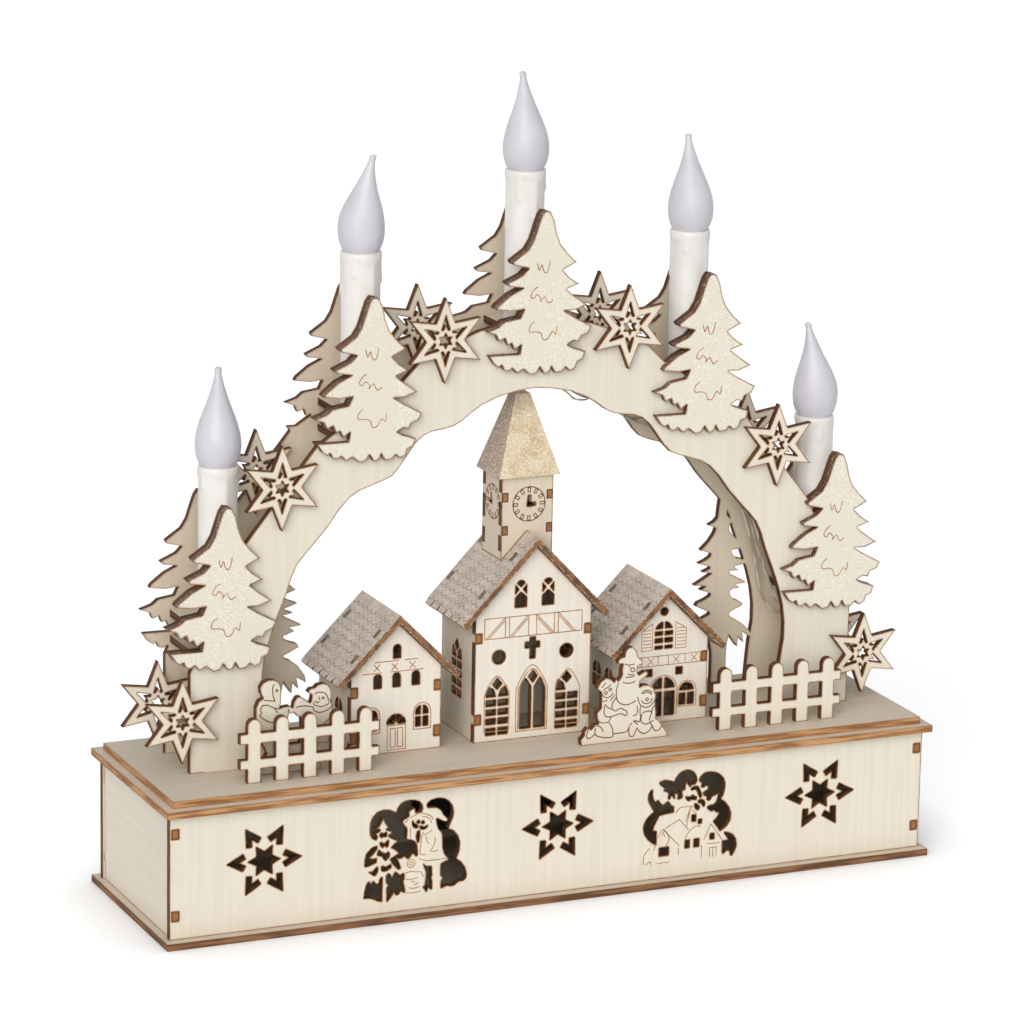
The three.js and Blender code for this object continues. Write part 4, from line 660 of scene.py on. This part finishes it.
# X and Z of each strand along the arch
STRAND_ROUTES = [
    [(134, 60), (136, 90), (128, 108), (121, 128), (116, 142), (104, 162), (84, 182), (70, 188), (58, 189),
     (54.7, 192), (46, 199), (40.4, 200.5), (37, 199.4), (31.5, 200.3), (26, 204.7), (12, 213), (-8, 217),
     (-28, 213), (-44, 205), (-60, 192), (-80, 184), (-100, 170), (-112, 152), (-119, 132), (-122, 108),
     (-132, 103)],
    [(136, 60), (137, 88), (124, 104), (119, 124), (112, 146), (98, 166), (80, 184), (64, 190), (52, 196),
     (42, 203), (30, 205), (14, 214.5), (-6, 218.5), (-30, 214.5), (-48, 203), (-64, 190), (-84, 186), (-104, 168),
     (-114, 148), (-120.5, 126), (-124, 106), (-134, 104)],
    [(138, 60), (138, 92), (130, 103), (122.5, 120), (118, 138), (108, 156), (90, 174), (76, 184), (62, 187.5),
     (50, 194), (38, 202), (24, 207), (8, 216), (-12, 218), (-36, 211), (-56, 197), (-74, 186), (-94, 177),
     (-108, 160), (-117, 138), (-122.5, 118), (-128, 104)],
]


def add_strands():
    """The clear wire between the arch panels, as single strands that weave a little in depth, coloured pale with
    tan streaks as painted highlights.
    """
    clear = Surface("clear_wire")
    # Painted highlights: the clear wire takes a pale colour with tan streaks, standing in for the light it
    # reflects
    painted_highlight_streak = clear.noise(STREAK_CELLS, 3.0)
    clear.shader.inputs["Transmission Weight"].default_value = 0.2
    clear.finish(clear.mix(clear.ramp(painted_highlight_streak, 0.45, 0.6), linear(236, 230, 218), linear(186, 172, 150)), 0.2)
    back_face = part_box("arch_back")[0].y / MM
    curve = bpy.data.curves.new("light_strands", "CURVE")
    curve.dimensions = "3D"
    curve.bevel_depth = STRAND_RADIUS * MM
    curve.bevel_resolution = 2
    for k, route in enumerate(STRAND_ROUTES):
        middle = back_face - STRAND_GAP - STRAND_STEP * k
        weave = [(x, middle - WEAVE_DEPTH * math.sin(x * WEAVE_TURN_PER_MM + k), z) for x, z in route]
        places = smoothed(weave, 5)
        spline = curve.splines.new("POLY")
        spline.points.add(len(places) - 1)
        for point, place in zip(spline.points, places):
            point.co = (*[c * MM for c in place], 1.0)
    piece = new_object("light_strands", curve)
    curve.materials.append(clear.material)
    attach(piece, "main")
    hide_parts("light_string")


# Engraved lines

# Widths of the lines
HOUSE_LINE = 0.42
CLOCK_LINE = 0.42
FINE_LINE = 0.35
FIGURE_LINE = 0.45
PICTURE_LINE = 0.4

RING_SIDES = 12
STROKE_STEPS = 4
TREE_COUNT = 5
# Strokes on each tree, X from its middle and Z from its foot
SQUIGGLES = [
    [(-1.5, 47.0), (-1.0, 44.9), (-0.5, 44.0), (0.6, 46.2), (1.2, 43.9), (2.4, 42.6), (3.5, 44.0), (4.3, 47.7)],
    [(-1.0, 37.1), (-2.7, 35.9), (-4.2, 33.4), (-2.8, 32.2), (-1.5, 33.8), (0.4, 32.1), (0.1, 30.8), (2.1, 32.6),
     (3.7, 29.9), (5.9, 31.1)],
    [(-2.3, 22.5), (-4.2, 20.8), (-4.5, 18.3), (-1.3, 18.0), (0.8, 17.1), (1.7, 14.5), (3.9, 14.8), (5.8, 17.7),
     (7.5, 16.5), (7.9, 20.0)],
]
# Strokes on the snowman plate, X and Z
SNOWMAN_LINES = [
    [(34.1, 88.1), (36.2, 87.5), (38.7, 87.5), (40.1, 88.1)],
    [(35.5, 90.2), (37.4, 90.0), (39.7, 90.4)],
    [(32.4, 88.1), (31.4, 85.2), (31.4, 82.2), (32.0, 80.2), (33.7, 78.7), (36.2, 78.0), (38.7, 78.5),
     (40.5, 79.5)],
    [(28.2, 71.0), (29.1, 69.8), (30.1, 67.7), (30.3, 66.0), (32.8, 65.9), (35.3, 65.9), (37.0, 66.6),
     (37.8, 68.3)],
    [(22.2, 69.3), (21.8, 67.7), (22.4, 66.0), (24.5, 65.0), (27.0, 64.5), (29.9, 64.5), (30.3, 66.0)],
    [(22.8, 70.2), (24.5, 69.3), (25.7, 67.2)],
    [(18.0, 66.8), (18.2, 65.2), (19.3, 65.0), (20.5, 65.6), (21.8, 66.6)],
    [(18.0, 66.8), (18.9, 68.9), (20.7, 70.2), (22.0, 70.8)],
    [(22.2, 75.2), (22.4, 73.5), (23.7, 71.8), (25.7, 71.1), (27.8, 71.3), (28.9, 72.7), (29.2, 73.5)],
    [(26.4, 79.3), (26.0, 77.7), (25.8, 75.6), (26.4, 74.1), (27.8, 73.5), (30.3, 73.7), (32.8, 74.3),
     (34.5, 74.1), (35.7, 73.3), (36.5, 73.9), (36.4, 75.2), (35.1, 75.9), (34.1, 76.6), (32.8, 76.6),
     (31.2, 75.8), (29.5, 76.8), (27.8, 77.5), (26.6, 78.7)],
    [(29.5, 76.8), (29.6, 79.3), (30.3, 80.2), (31.2, 81.8)],
    [(25.1, 85.4), (26.6, 86.2), (28.2, 87.2), (28.7, 87.7)],
    [(24.9, 83.5), (26.0, 82.5), (27.4, 82.0), (28.9, 82.7), (29.9, 83.9)],
    [(24.5, 86.6), (26.4, 88.9)],
    [(25.1, 80.5), (27.2, 81.0)],
    [(28.7, 80.6), (30.5, 82.9)],
    [(35.1, 96.0), (37.0, 95.4), (39.5, 95.6)],
    [(37.0, 94.8), (37.6, 93.9)],
    [(36.4, 91.6), (37.8, 91.0), (39.5, 91.0)],
    [(41.4, 81.0), (41.8, 79.3), (42.8, 77.2), (44.9, 76.0), (47.0, 76.2), (48.7, 77.7), (49.3, 78.9)],
    [(43.0, 82.2), (44.5, 83.3), (46.4, 83.3), (48.2, 82.2)],
    [(43.7, 82.0), (45.7, 82.7), (48.0, 81.4)],
    [(43.2, 79.3), (44.1, 78.1), (45.7, 77.5), (47.4, 78.1), (48.2, 79.8)],
    [(42.8, 76.8), (42.6, 74.3), (43.0, 71.4), (42.4, 69.8)],
    [(43.7, 73.5), (45.3, 74.1), (47.4, 74.1), (48.0, 73.1), (47.4, 71.4), (47.2, 69.8)],
    [(43.5, 73.1), (43.2, 71.0), (43.7, 69.3), (45.7, 68.5), (47.8, 69.3), (49.1, 69.8)],
    [(49.9, 76.8), (48.5, 75.2), (48.0, 73.1)],
    [(41.4, 67.2), (42.8, 65.4), (44.5, 64.5), (46.2, 64.8), (47.8, 66.0), (48.5, 67.5)],
    [(47.2, 69.3), (48.5, 67.5), (49.5, 65.6), (51.0, 65.0), (52.4, 66.0), (53.0, 67.0)],
    [(39.5, 70.6), (41.2, 69.3), (41.6, 68.5)],
    [(37.8, 67.7), (37.6, 66.0), (38.0, 64.3), (39.1, 63.7), (40.1, 64.3), (41.0, 66.4), (41.4, 67.5)],
    [(39.1, 69.8), (38.0, 68.5)],
    [(41.2, 77.2), (41.4, 75.2), (41.2, 73.5), (39.5, 72.7)],
    [(40.1, 70.8), (42.4, 69.8)],
]
SNOWMAN_RINGS = [(26.5, 84.2, 0.62), (28.5, 85.5, 0.62), (38.7, 93.1, 0.92), (45.8, 79.4, 0.62)]
# Strokes on the plate with the children
CHILDREN_LINES = [
    [(-119.3, 100.3), (-120.1, 99.7), (-120.3, 97.6), (-119.9, 95.1), (-119.1, 93.2)],
    [(-119.3, 93.2), (-121.6, 93.6), (-124.1, 94.0)],
    [(-123.9, 92.0), (-124.9, 91.3), (-125.5, 90.1), (-125.1, 88.4), (-125.8, 87.6), (-124.7, 86.5),
     (-122.8, 85.1), (-120.8, 84.2), (-119.9, 84.0)],
    [(-124.7, 91.8), (-122.4, 91.8), (-121.2, 91.1), (-119.5, 90.3), (-117.6, 89.7)],
    [(-119.3, 90.1), (-118.0, 88.0)],
    [(-113.3, 89.2), (-113.0, 87.6)],
    [(-109.9, 89.2), (-108.7, 89.8), (-105.3, 89.7), (-102.6, 89.0)],
    [(-101.8, 94.2), (-101.2, 94.8), (-99.1, 95.0), (-97.0, 94.2), (-96.0, 92.6), (-95.3, 90.5)],
    [(-102.4, 90.9), (-101.6, 89.7), (-99.1, 88.8), (-97.0, 89.0), (-95.1, 89.9)],
    [(-102.4, 89.2), (-102.0, 87.6), (-100.3, 86.5), (-98.3, 86.4), (-95.8, 87.2), (-93.9, 88.6)],
    [(-99.9, 93.2), (-99.3, 91.5)],
    [(-101.6, 91.5), (-100.8, 90.7), (-99.7, 90.9)],
]
CHILDREN_RINGS = [(-118.4, 97.6, 0.38), (-98.0, 92.4, 0.42)]
# Strokes in the left picture of the box
FAMILY_LINES = [
    [(-62.0, 43.5), (-59.5, 42.8), (-58.0, 41.5), (-57.6, 40.1)],
    [(-64.0, 45.0), (-62.0, 44.9), (-59.5, 44.0), (-57.5, 42.8), (-56.8, 41.5)],
    [(-67.5, 43.2), (-65.2, 44.2), (-63.5, 44.8)],
    [(-69.5, 41.5), (-68.0, 42.8)],
    [(-61.2, 36.5), (-62.0, 34.0), (-62.2, 31.0), (-62.6, 28.0), (-61.8, 26.8), (-59.5, 26.6)],
    [(-60.8, 35.2), (-59.0, 36.0), (-57.2, 36.8)],
    [(-59.8, 34.5), (-59.5, 32.5), (-58.5, 31.2)],
    [(-56.0, 34.0), (-55.8, 32.0), (-56.8, 29.5), (-58.0, 27.5)],
    [(-57.0, 27.5), (-54.5, 27.8)],
    [(-62.8, 25.2), (-60.0, 24.0), (-57.0, 23.8), (-54.0, 23.8), (-51.5, 24.0), (-49.8, 23.8)],
    [(-67.0, 39.0), (-66.8, 34.0)],
    [(-69.0, 19.5), (-66.5, 20.0), (-64.0, 19.5), (-62.5, 19.5)],
    [(-68.8, 16.8), (-67.0, 16.5), (-64.5, 16.8), (-63.2, 17.0)],
    [(-66.5, 15.6), (-64.5, 15.2)],
    [(-65.2, 14.0), (-64.0, 14.2), (-63.2, 15.0)],
    [(-67.5, 13.0), (-65.0, 12.5), (-62.5, 13.0)],
    [(-69.0, 11.0), (-65.5, 10.5), (-62.0, 11.0)],
    [(-62.0, 19.5), (-60.8, 17.0)],
]
FAMILY_RINGS = [(-66.5, 23.5, 1.75), (-66.5, 23.5, 0.75)]
# Strokes in the right picture of the box
HAMLET_CURVES = [
    [(66.8, 24.0), (66.0, 24.5), (64.0, 24.5), (61.0, 22.0), (59.5, 19.0)],
    [(45.0, 15.8), (46.0, 19.0)],
    [(40.2, 10.0), (40.5, 14.0), (43.0, 17.2)],
    [(41.5, 9.8), (43.0, 11.2), (44.0, 9.8)],
    [(46.5, 10.0), (48.5, 9.8), (50.0, 10.2), (51.5, 9.8), (52.5, 10.5)],
    [(62.5, 33.8), (61.2, 30.0), (60.5, 26.0), (60.2, 25.2)],
    [(46.5, 20.8), (49.2, 24.9), (52.1, 20.6), (50.2, 16.8)],
]
# Straight edges in the right picture of the box
HAMLET_EDGES = [
    [(54.8, 31.5), (57.0, 33.8), (62.5, 33.8)],
    [(61.8, 33.5), (59.8, 27.0)],
    [(62.8, 32.0), (64.8, 30.2)],
    [(50.0, 25.2), (56.8, 28.4), (61.2, 23.4)],
    [(49.2, 24.8), (57.0, 16.8)],
    [(48.5, 22.0), (49.2, 23.8), (50.0, 21.5)],
    [(56.6, 16.0), (56.6, 12.8)],
    [(68.5, 18.0), (71.8, 24.8), (77.2, 17.2)],
    [(70.2, 16.0), (76.2, 16.0)],
    [(71.5, 14.2), (71.5, 10.0)],
    [(73.0, 14.2), (73.0, 10.0)],
    [(74.6, 14.2), (74.6, 10.0)],
    [(71.2, 14.2), (74.8, 14.2)],
    [(67.6, 15.8), (67.6, 10.2)],
]

# Tower and clocks
CHURCH_MIDDLE = 1.1
TOWER_FRONT = -3.0
TOWER_HALF = 11.75
TOWER_DEPTH = 20.0
TOWER_HEAD = STAGE_TOP + 112.1
CLOCK_HEIGHT = STAGE_TOP + 99.8
CLOCK_OFFSET = 0.75
CLOCK_RADIUS = 7.4
CLOCK_SIDES = 48
CLOCK_MARK_INNER = 5.2
CLOCK_MARK_OUTER = 7.1
CLOCK_MARK_HALF = 0.55
TAB_HEIGHTS = [(148.9, 153.1), (163.3, 167.4)]


def circle_line(x, z, radius, steps):
    turns = [2 * math.pi * s / steps for s in range(steps)]
    return [(x + radius * math.cos(turn), z + radius * math.sin(turn)) for turn in turns], True


def drawn(strokes, rings=()):
    """Smooth strokes and small rings as lines for an engraving."""
    curves = [(smoothed(stroke, STROKE_STEPS), False) for stroke in strokes]
    return curves + [circle_line(*ring, RING_SIDES) for ring in rings]


def clock_lines(x):
    lines = [circle_line(x, CLOCK_HEIGHT, CLOCK_RADIUS, CLOCK_SIDES)]
    corners = [
        (CLOCK_MARK_INNER, -CLOCK_MARK_HALF), (CLOCK_MARK_OUTER, -CLOCK_MARK_HALF),
        (CLOCK_MARK_OUTER, CLOCK_MARK_HALF), (CLOCK_MARK_INNER, CLOCK_MARK_HALF),
    ]
    for hour in range(12):
        c, n = math.cos(math.pi / 6 * hour), math.sin(math.pi / 6 * hour)
        mark = [(x + reach * c - aside * n, CLOCK_HEIGHT + reach * n + aside * c) for reach, aside in corners]
        lines.append((mark, True))
    return lines


def add_engravings():
    brown = burn_line("engraved_line", linear(150, 98, 54), linear(196, 150, 98))
    deep = burn_line("deep_line", linear(88, 52, 28), linear(128, 84, 48))

    def front_of(name):
        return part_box(name)[0].y / MM - PROUD

    engraving("church_engraving", church_lines(), front_of("church_front"), brown, HOUSE_LINE)
    engraving("left_house_engraving", left_house_lines(), front_of("left_house_front"), brown, HOUSE_LINE)
    engraving("right_house_engraving", right_house_lines(), front_of("right_house_front"), brown, FINE_LINE)
    clock = clock_lines(CHURCH_MIDDLE + CLOCK_OFFSET)
    engraving("clock_engraving", clock, TOWER_FRONT - PROUD, deep, CLOCK_LINE)
    side_clock = clock_lines(TOWER_FRONT + TOWER_DEPTH / 2 - CLOCK_OFFSET)
    west = CHURCH_MIDDLE - TOWER_HALF - PROUD
    engraving("side_clock_engraving", side_clock, west, deep, CLOCK_LINE, beside=True)
    snowman = drawn(SNOWMAN_LINES, SNOWMAN_RINGS)
    engraving("snowman_engraving", snowman, front_of("snowman_plate"), deep, FIGURE_LINE)
    children = drawn(CHILDREN_LINES, CHILDREN_RINGS)
    engraving("children_engraving", children, front_of("children_plate"), deep, FIGURE_LINE)
    family = drawn(FAMILY_LINES, FAMILY_RINGS)
    engraving("family_engraving", family, front_of("box_front"), brown, PICTURE_LINE)
    hamlet = drawn(HAMLET_CURVES) + [(edge, False) for edge in HAMLET_EDGES]
    engraving("hamlet_engraving", hamlet, front_of("box_front"), brown, PICTURE_LINE)
    for i in range(1, TREE_COUNT + 1):
        tree = f"fir_tree_{i}"
        low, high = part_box(tree)
        x, z = (low.x + high.x) / 2 / MM, low.z / MM
        strokes = [[(x + a, z + b) for a, b in stroke] for stroke in SQUIGGLES]
        engraving(f"tree_engraving_{i}", drawn(strokes), front_of(tree), brown, PICTURE_LINE)


def church_lines():
    lines = []
    for z in (115.9, 107.0):
        lines.append(straight(-21.4, z, 23.4, z))
    for x in (-21.4, -11.9, -10.1, -1.2, 2.4, 10.6, 12.4, 23.4):
        lines.append(straight(x, 107.0, x, 115.9))
    for x0, x1, z0, z1 in (
        (-20.4, -12.3, 107.3, 115.6), (-9.7, -1.7, 107.3, 115.6),
        (10.5, 2.8, 107.2, 115.6), (20.4, 12.8, 107.2, 115.6),
    ):
        lean = 1.1 if x1 > x0 else -1.1
        lines.append(straight(x0, z0, x1, z1))
        lines.append(straight(x0 + lean, z0, x1, z1 - 1.2))
    for x in (-15.3, 17.4):
        lines.append(arch_line(x - 5.7, x + 5.7, 66.4, 82.4, 8.2, True))
        lines.append(straight(x - 5.7, 66.4, x + 5.7, 66.4))
    lines.append(arch_line(-5.5, 7.2, 65.2, 83.4, 9.0, True))
    lines.append(arch_line(-6.5, 8.0, 65.2, 83.8, 10.2, True))
    lines.append(straight(-6.5, 65.2, 8.0, 65.2))
    return lines


def left_house_lines():
    lines = [straight(-71, 102, -60, 102), straight(-57.5, 102, -51.5, 102)]
    lines += [straight(-76.5, 97.3, -67.5, 97.3), straight(-64, 97.3, -49, 97.3)]
    for x in (-70, -62, -54):
        lines += [straight(x - 1.4, 98, x + 1.4, 101), straight(x + 1.4, 98, x - 1.4, 101)]
    lines += [frame_line(-65, -56.8, 63.3, 74)]
    lines += [frame_line(-63.7, -61.4, 64.4, 72.6), frame_line(-60.4, -58.1, 64.4, 72.6)]
    lines += [arch_line(-53.3, -45.4, 71.2, 78.6, 4.0), straight(-53.3, 71.2, -45.4, 71.2)]
    lines += [arch_line(-76.2, -68.4, 71.2, 78.6, 4.0), straight(-76.2, 71.2, -68.4, 71.2)]
    return lines


def right_house_lines():
    lines = []
    for outer, inner in ((52.0, 57.0), (73.0, 68.0)):
        lines.append(([(outer, 94.5), (inner, 94.5), (inner, 106.2), (outer, 103.2)], True))
        toward = 0.5 if inner > outer else -0.5
        for k in range(6):
            z = 96 + 1.5 * k
            lines.append(straight(outer + toward, z, inner - toward, z))
    lines += [straight(47.5, 91.7, 80, 91.7), straight(47.5, 87.5, 80, 87.5)]
    for x in (52.2, 60, 64.8, 72.8, 80):
        lines.append(straight(x, 87.5, x, 91.7))
    for x in (56.5, 68.5, 77):
        lines += [straight(x - 1.5, 88, x + 1.5, 91.2), straight(x + 1.5, 88, x - 1.5, 91.2)]
    lines += [arch_line(56.2, 69.2, 65, 76.6, 6.2), arch_line(69.5, 78.4, 68.2, 75.4, 4.2)]
    lines.append(straight(69.5, 68.2, 78.4, 68.2))
    return lines


# Scorched outlines

SCORCH_WIDTH = 0.3
SCORCH_LIFT = 0.03
FLAT_ON = 0.99
FRONT_BOARDS = (
    "arch_front", "box_front", "fence_", "snowman_", "children_", "front_star_", "back_star_",
    "church_front", "left_house_front", "right_house_front", "church_tower",
)
SIDE_BOARDS = ("box_left", "church_shell", "left_house_shell", "right_house_shell")


def add_scorched_edges():
    """A thin burnt line along the outline and the holes of the boards, as the cutting beam leaves it."""
    scorch = burn_line("scorched_edge", linear(122, 76, 40), linear(182, 132, 82))
    front, left = Vector((0, -1, 0)), Vector((-1, 0, 0))
    groups = [
        (FRONT_BOARDS, front, "plywood"), (("fir_tree_",), front, "snow_glitter"), (SIDE_BOARDS, left, "plywood"),
    ]
    for starts, facing, slot in groups:
        for name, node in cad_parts.items():
            if name.startswith(starts):
                points, faces = outline_strips(node, facing)
                add_mesh(name + "_scorch", points, faces, scorch)


def outline_strips(node, facing):
    """Strips just inside the border of the faces that look one way."""
    mesh, place = node.data, node.matrix_world
    # Neighbouring faces share no vertices, so their edges are matched by place
    spots = [tuple(round(value, 3) for value in place @ vertex.co / MM) for vertex in mesh.vertices]
    sides = {}
    for polygon in mesh.polygons:
        if polygon.normal.dot(facing) > FLAT_ON:
            for a, b in polygon.edge_keys:
                sides.setdefault(tuple(sorted((spots[a], spots[b]))), []).append(polygon)
    points, faces = [], []
    for (first, last), owners in sides.items():
        if len(owners) == 1:
            start, end = Vector(first), Vector(last)
            inward = facing.cross(end - start).normalized()
            if inward.dot(place @ owners[0].center / MM - start) < 0:
                inward = -inward
            lift, inset = facing * SCORCH_LIFT, inward * SCORCH_WIDTH
            offset = len(points)
            points += [tuple(corner + lift) for corner in (start, end, end + inset, start + inset)]
            faces.append(tuple(range(offset, offset + 4)))
    return points, faces


# Roof tiles and the ends of tabs

# Middle X, ridge Z, pitch in degrees and slope length of each roof, and its tabs as way down and Y
ROOFS = {
    "church_roof": (1.1, 150.0, 46.0, 49.0, [(33.2, -10.0), (12.4, -9.2), (33.2, 23.8), (12.4, 23.8)]),
    "left_house_roof": (-61.3, 122.5, 45.0, 39.6, [(11.9, -11.0), (26.0, -11.2), (11.9, 22.4), (26.0, 22.2)]),
    "right_house_roof": (63.3, 122.3, 45.0, 38.9, [(11.9, -9.8), (26.0, -9.0), (12.6, 23.6), (26.0, 23.6)]),
}
TILE_ROW = 3.9
TILES_ALONG = 9
TILE_STEPS = 6
TILE_SAG = 1.5
TILE_LINE = 0.4
TILE_MARGIN = 0.4
EAVE_MARGIN = 3
ROOF_TAB = [(-2.2, -1.4), (2.2, -1.4), (2.2, 1.4), (-2.2, 1.4)]


def add_roof_marks():
    """Engraved tile rows and the ends of the wall tabs on each slope."""
    groove = burn_line("tile_line", linear(140, 120, 106), linear(188, 173, 160))
    mark = burn_line("roof_tab", linear(104, 84, 72), linear(138, 118, 104))
    for name, (middle, ridge, pitch_deg, length, tabs) in ROOFS.items():
        low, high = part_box(name)
        curves = tile_curves(low.y / MM, high.y / MM, length)
        slope, rise = math.cos(math.radians(pitch_deg)), math.sin(math.radians(pitch_deg))
        rows, tiles, ends, quads = [], [], [], []
        for side in (-1, 1):
            def on_slope(down, y, side=side):
                return (
                    middle + side * (down * slope + PROUD * rise), y,
                    ridge - down * rise + PROUD * slope,
                )
            for curve in curves:
                flat, strips = ribbon(curve, TILE_LINE)
                offset = len(rows)
                rows += [on_slope(down, y) for y, down in flat]
                tiles += [tuple(offset + i for i in strip) for strip in strips]
            for down, y in tabs:
                offset = len(ends)
                ends += [on_slope(down + a, y + b) for a, b in ROOF_TAB]
                quads.append(tuple(range(offset, offset + 4)))
        add_mesh(name + "_tiles", rows, tiles, groove)
        add_mesh(name + "_tabs", ends, quads, mark)


def tile_curves(front, back, length):
    """Lower edges of the tiles on a slope, as Y and way down."""
    tile = (back - front) / TILES_ALONG
    curves = []
    for r in range(int((length - EAVE_MARGIN) / TILE_ROW)):
        down = length - TILE_ROW * (r + 1)
        for k in range(TILES_ALONG + 1):
            start = front + tile * (k - 0.5 * (r % 2))
            curve = []
            for s in range(TILE_STEPS + 1):
                share = s / TILE_STEPS
                y = start + tile * share
                if front + TILE_MARGIN < y < back - TILE_MARGIN:
                    curve.append((y, down + TILE_SAG * math.sin(math.pi * share)))
            if len(curve) > 1:
                curves.append(curve)
    return curves


TAB_OUTLINE = 0.55
TOWER_SHOWN_FROM = STAGE_TOP + 80.0


def add_tower_tabs():
    """Brown tab ends with a dark outline on the clock wall, and the cut edges of the boards beside them."""
    brown = burn_line("tab_end", TAB_END, TAB_END_DARK)
    dark = burn_line("board_edge", BURNT_DARK, BURNT)
    west, east = CHURCH_MIDDLE - TOWER_HALF, CHURCH_MIDDLE + TOWER_HALF
    outline, core, faces = [], [], []
    for foot, head in TAB_HEIGHTS:
        for x0, x1 in ((west, west + PLY), (east - PLY, east)):
            offset = len(outline)
            for points, inset, lift in ((outline, 0.0, PROUD), (core, TAB_OUTLINE, 2 * PROUD)):
                y = TOWER_FRONT - lift
                points += [
                    (x0 + inset, y, foot + inset), (x1 - inset, y, foot + inset),
                    (x1 - inset, y, head - inset), (x0 + inset, y, head - inset),
                ]
            faces.append(tuple(range(offset, offset + 4)))
    add_mesh("tower_tab_outlines", outline, faces, dark)
    add_mesh("tower_tab_ends", core, faces, brown)
    points, faces = tower_edge(west - PROUD)
    add_mesh("tower_board_edges", points, faces, dark)


def tower_edge(x):
    """Cut edges of the front and back board between the tabs, seen on the left wall."""
    points, faces = [], []
    spans, low = [], TOWER_SHOWN_FROM
    for foot, head in TAB_HEIGHTS:
        spans.append((low, foot))
        low = head
    spans.append((low, TOWER_HEAD))
    back = TOWER_FRONT + TOWER_DEPTH
    for foot, head in spans:
        for y0, y1 in ((TOWER_FRONT, TOWER_FRONT + PLY), (back - PLY, back)):
            offset = len(points)
            points += [(x, y1, foot), (x, y0, foot), (x, y0, head), (x, y1, head)]
            faces.append(tuple(range(offset, offset + 4)))
    return points, faces


# Room and camera

def add_floor():
    """Pale floor that looks white to the camera and in reflections, and keeps the object's shadow, with a painted
    contact shadow where its glow fades beside the object.
    """
    reach = FLOOR_REACH_METRES
    mesh = bpy.data.meshes.new("floor")
    corners = [(-reach, -reach, 0), (reach, -reach, 0), (reach, reach, 0), (-reach, reach, 0)]
    mesh.from_pydata(corners, [], [(0, 1, 2, 3)])
    floor = new_object("floor", mesh)
    surface = Surface("pale_floor")
    path = surface.add("ShaderNodeLightPath")
    seen = surface.math("MAXIMUM", path.outputs["Is Camera Ray"], path.outputs["Is Glossy Ray"])
    seen = surface.math("MAXIMUM", seen, path.outputs["Is Transmission Ray"])
    surface.shader.inputs["Emission Color"].default_value = WHITE
    # Painted contact shadow: the glow that keeps the floor white fades where the floor is closed in beside the
    # object
    near = surface.ramp(surface.openness(CONTACT_REACH), 0.45, 0.98, 0.0, 1.0)
    glow = surface.math("MULTIPLY", near, FLOOR_GLOW)
    surface.feed(surface.shader.inputs["Emission Strength"], surface.math("MULTIPLY", seen, glow))
    surface.shader.inputs["Specular IOR Level"].default_value = 0.0
    surface.finish(FLOOR_COLOUR, 1.0)
    mesh.materials.append(surface.material)


def add_world():
    """Soft light from all round, behind which the backdrop is white."""
    world = bpy.data.worlds.new("studio")
    bpy.context.scene.world = world
    world.use_nodes = True
    nodes, links = world.node_tree.nodes, world.node_tree.links
    path = nodes.new("ShaderNodeLightPath")
    seen = path.outputs["Is Camera Ray"]
    for ray in ("Is Transmission Ray", "Is Glossy Ray"):
        either = nodes.new("ShaderNodeMath")
        either.operation = "MAXIMUM"
        links.new(seen, either.inputs[0])
        links.new(path.outputs[ray], either.inputs[1])
        seen = either.outputs[0]
    strength = nodes.new("ShaderNodeMapRange")
    strength.inputs["To Min"].default_value = WORLD_STRENGTH
    strength.inputs["To Max"].default_value = 1.0
    links.new(seen, strength.inputs["Value"])
    background = nodes["Background"]
    background.inputs["Color"].default_value = WHITE
    links.new(strength.outputs[0], background.inputs["Strength"])


def add_lamp():
    lamp = bpy.data.lights.new("soft_key", "SUN")
    lamp.energy = SUN_STRENGTH
    lamp.angle = math.radians(SUN_ANGLE_DEG)
    lamp.color = SUN_COLOUR
    key = new_object("soft_key", lamp)
    key.rotation_euler = Vector(SUN_FROM).to_track_quat("Z", "Y").to_euler()


def add_camera():
    yaw, pitch, roll = (math.radians(a) for a in (CAMERA_YAW_DEG, CAMERA_PITCH_DEG, CAMERA_ROLL_DEG))
    ahead = Vector((math.sin(yaw) * math.cos(pitch), math.cos(yaw) * math.cos(pitch), -math.sin(pitch)))
    level = Vector((math.cos(yaw), -math.sin(yaw), 0))
    upward = level.cross(ahead)
    right = level * math.cos(roll) + upward * math.sin(roll)
    up = -level * math.sin(roll) + upward * math.cos(roll)
    turn = Matrix((right, up, -ahead)).transposed().to_4x4()
    lens = bpy.data.cameras.new("camera")
    lens.sensor_width = SENSOR_WIDTH
    lens.sensor_height = SENSOR_WIDTH
    lens.lens = FOCAL_PIXELS / IMAGE_PIXELS * SENSOR_WIDTH
    lens.clip_end = CLIP_END_METRES
    camera = new_object("camera", lens)
    camera.matrix_world = Matrix.Translation(Vector(CAMERA_PLACE) * MM) @ turn
    bpy.context.scene.camera = camera


bpy.context.scene.view_settings.view_transform = "Standard"
add_camera()
add_floor()
add_world()
add_lamp()
dress_boards()
dress_coats()
add_flames()
add_sleeves()
add_strands()
add_engravings()
add_scorched_edges()
add_roof_marks()
add_tower_tabs()
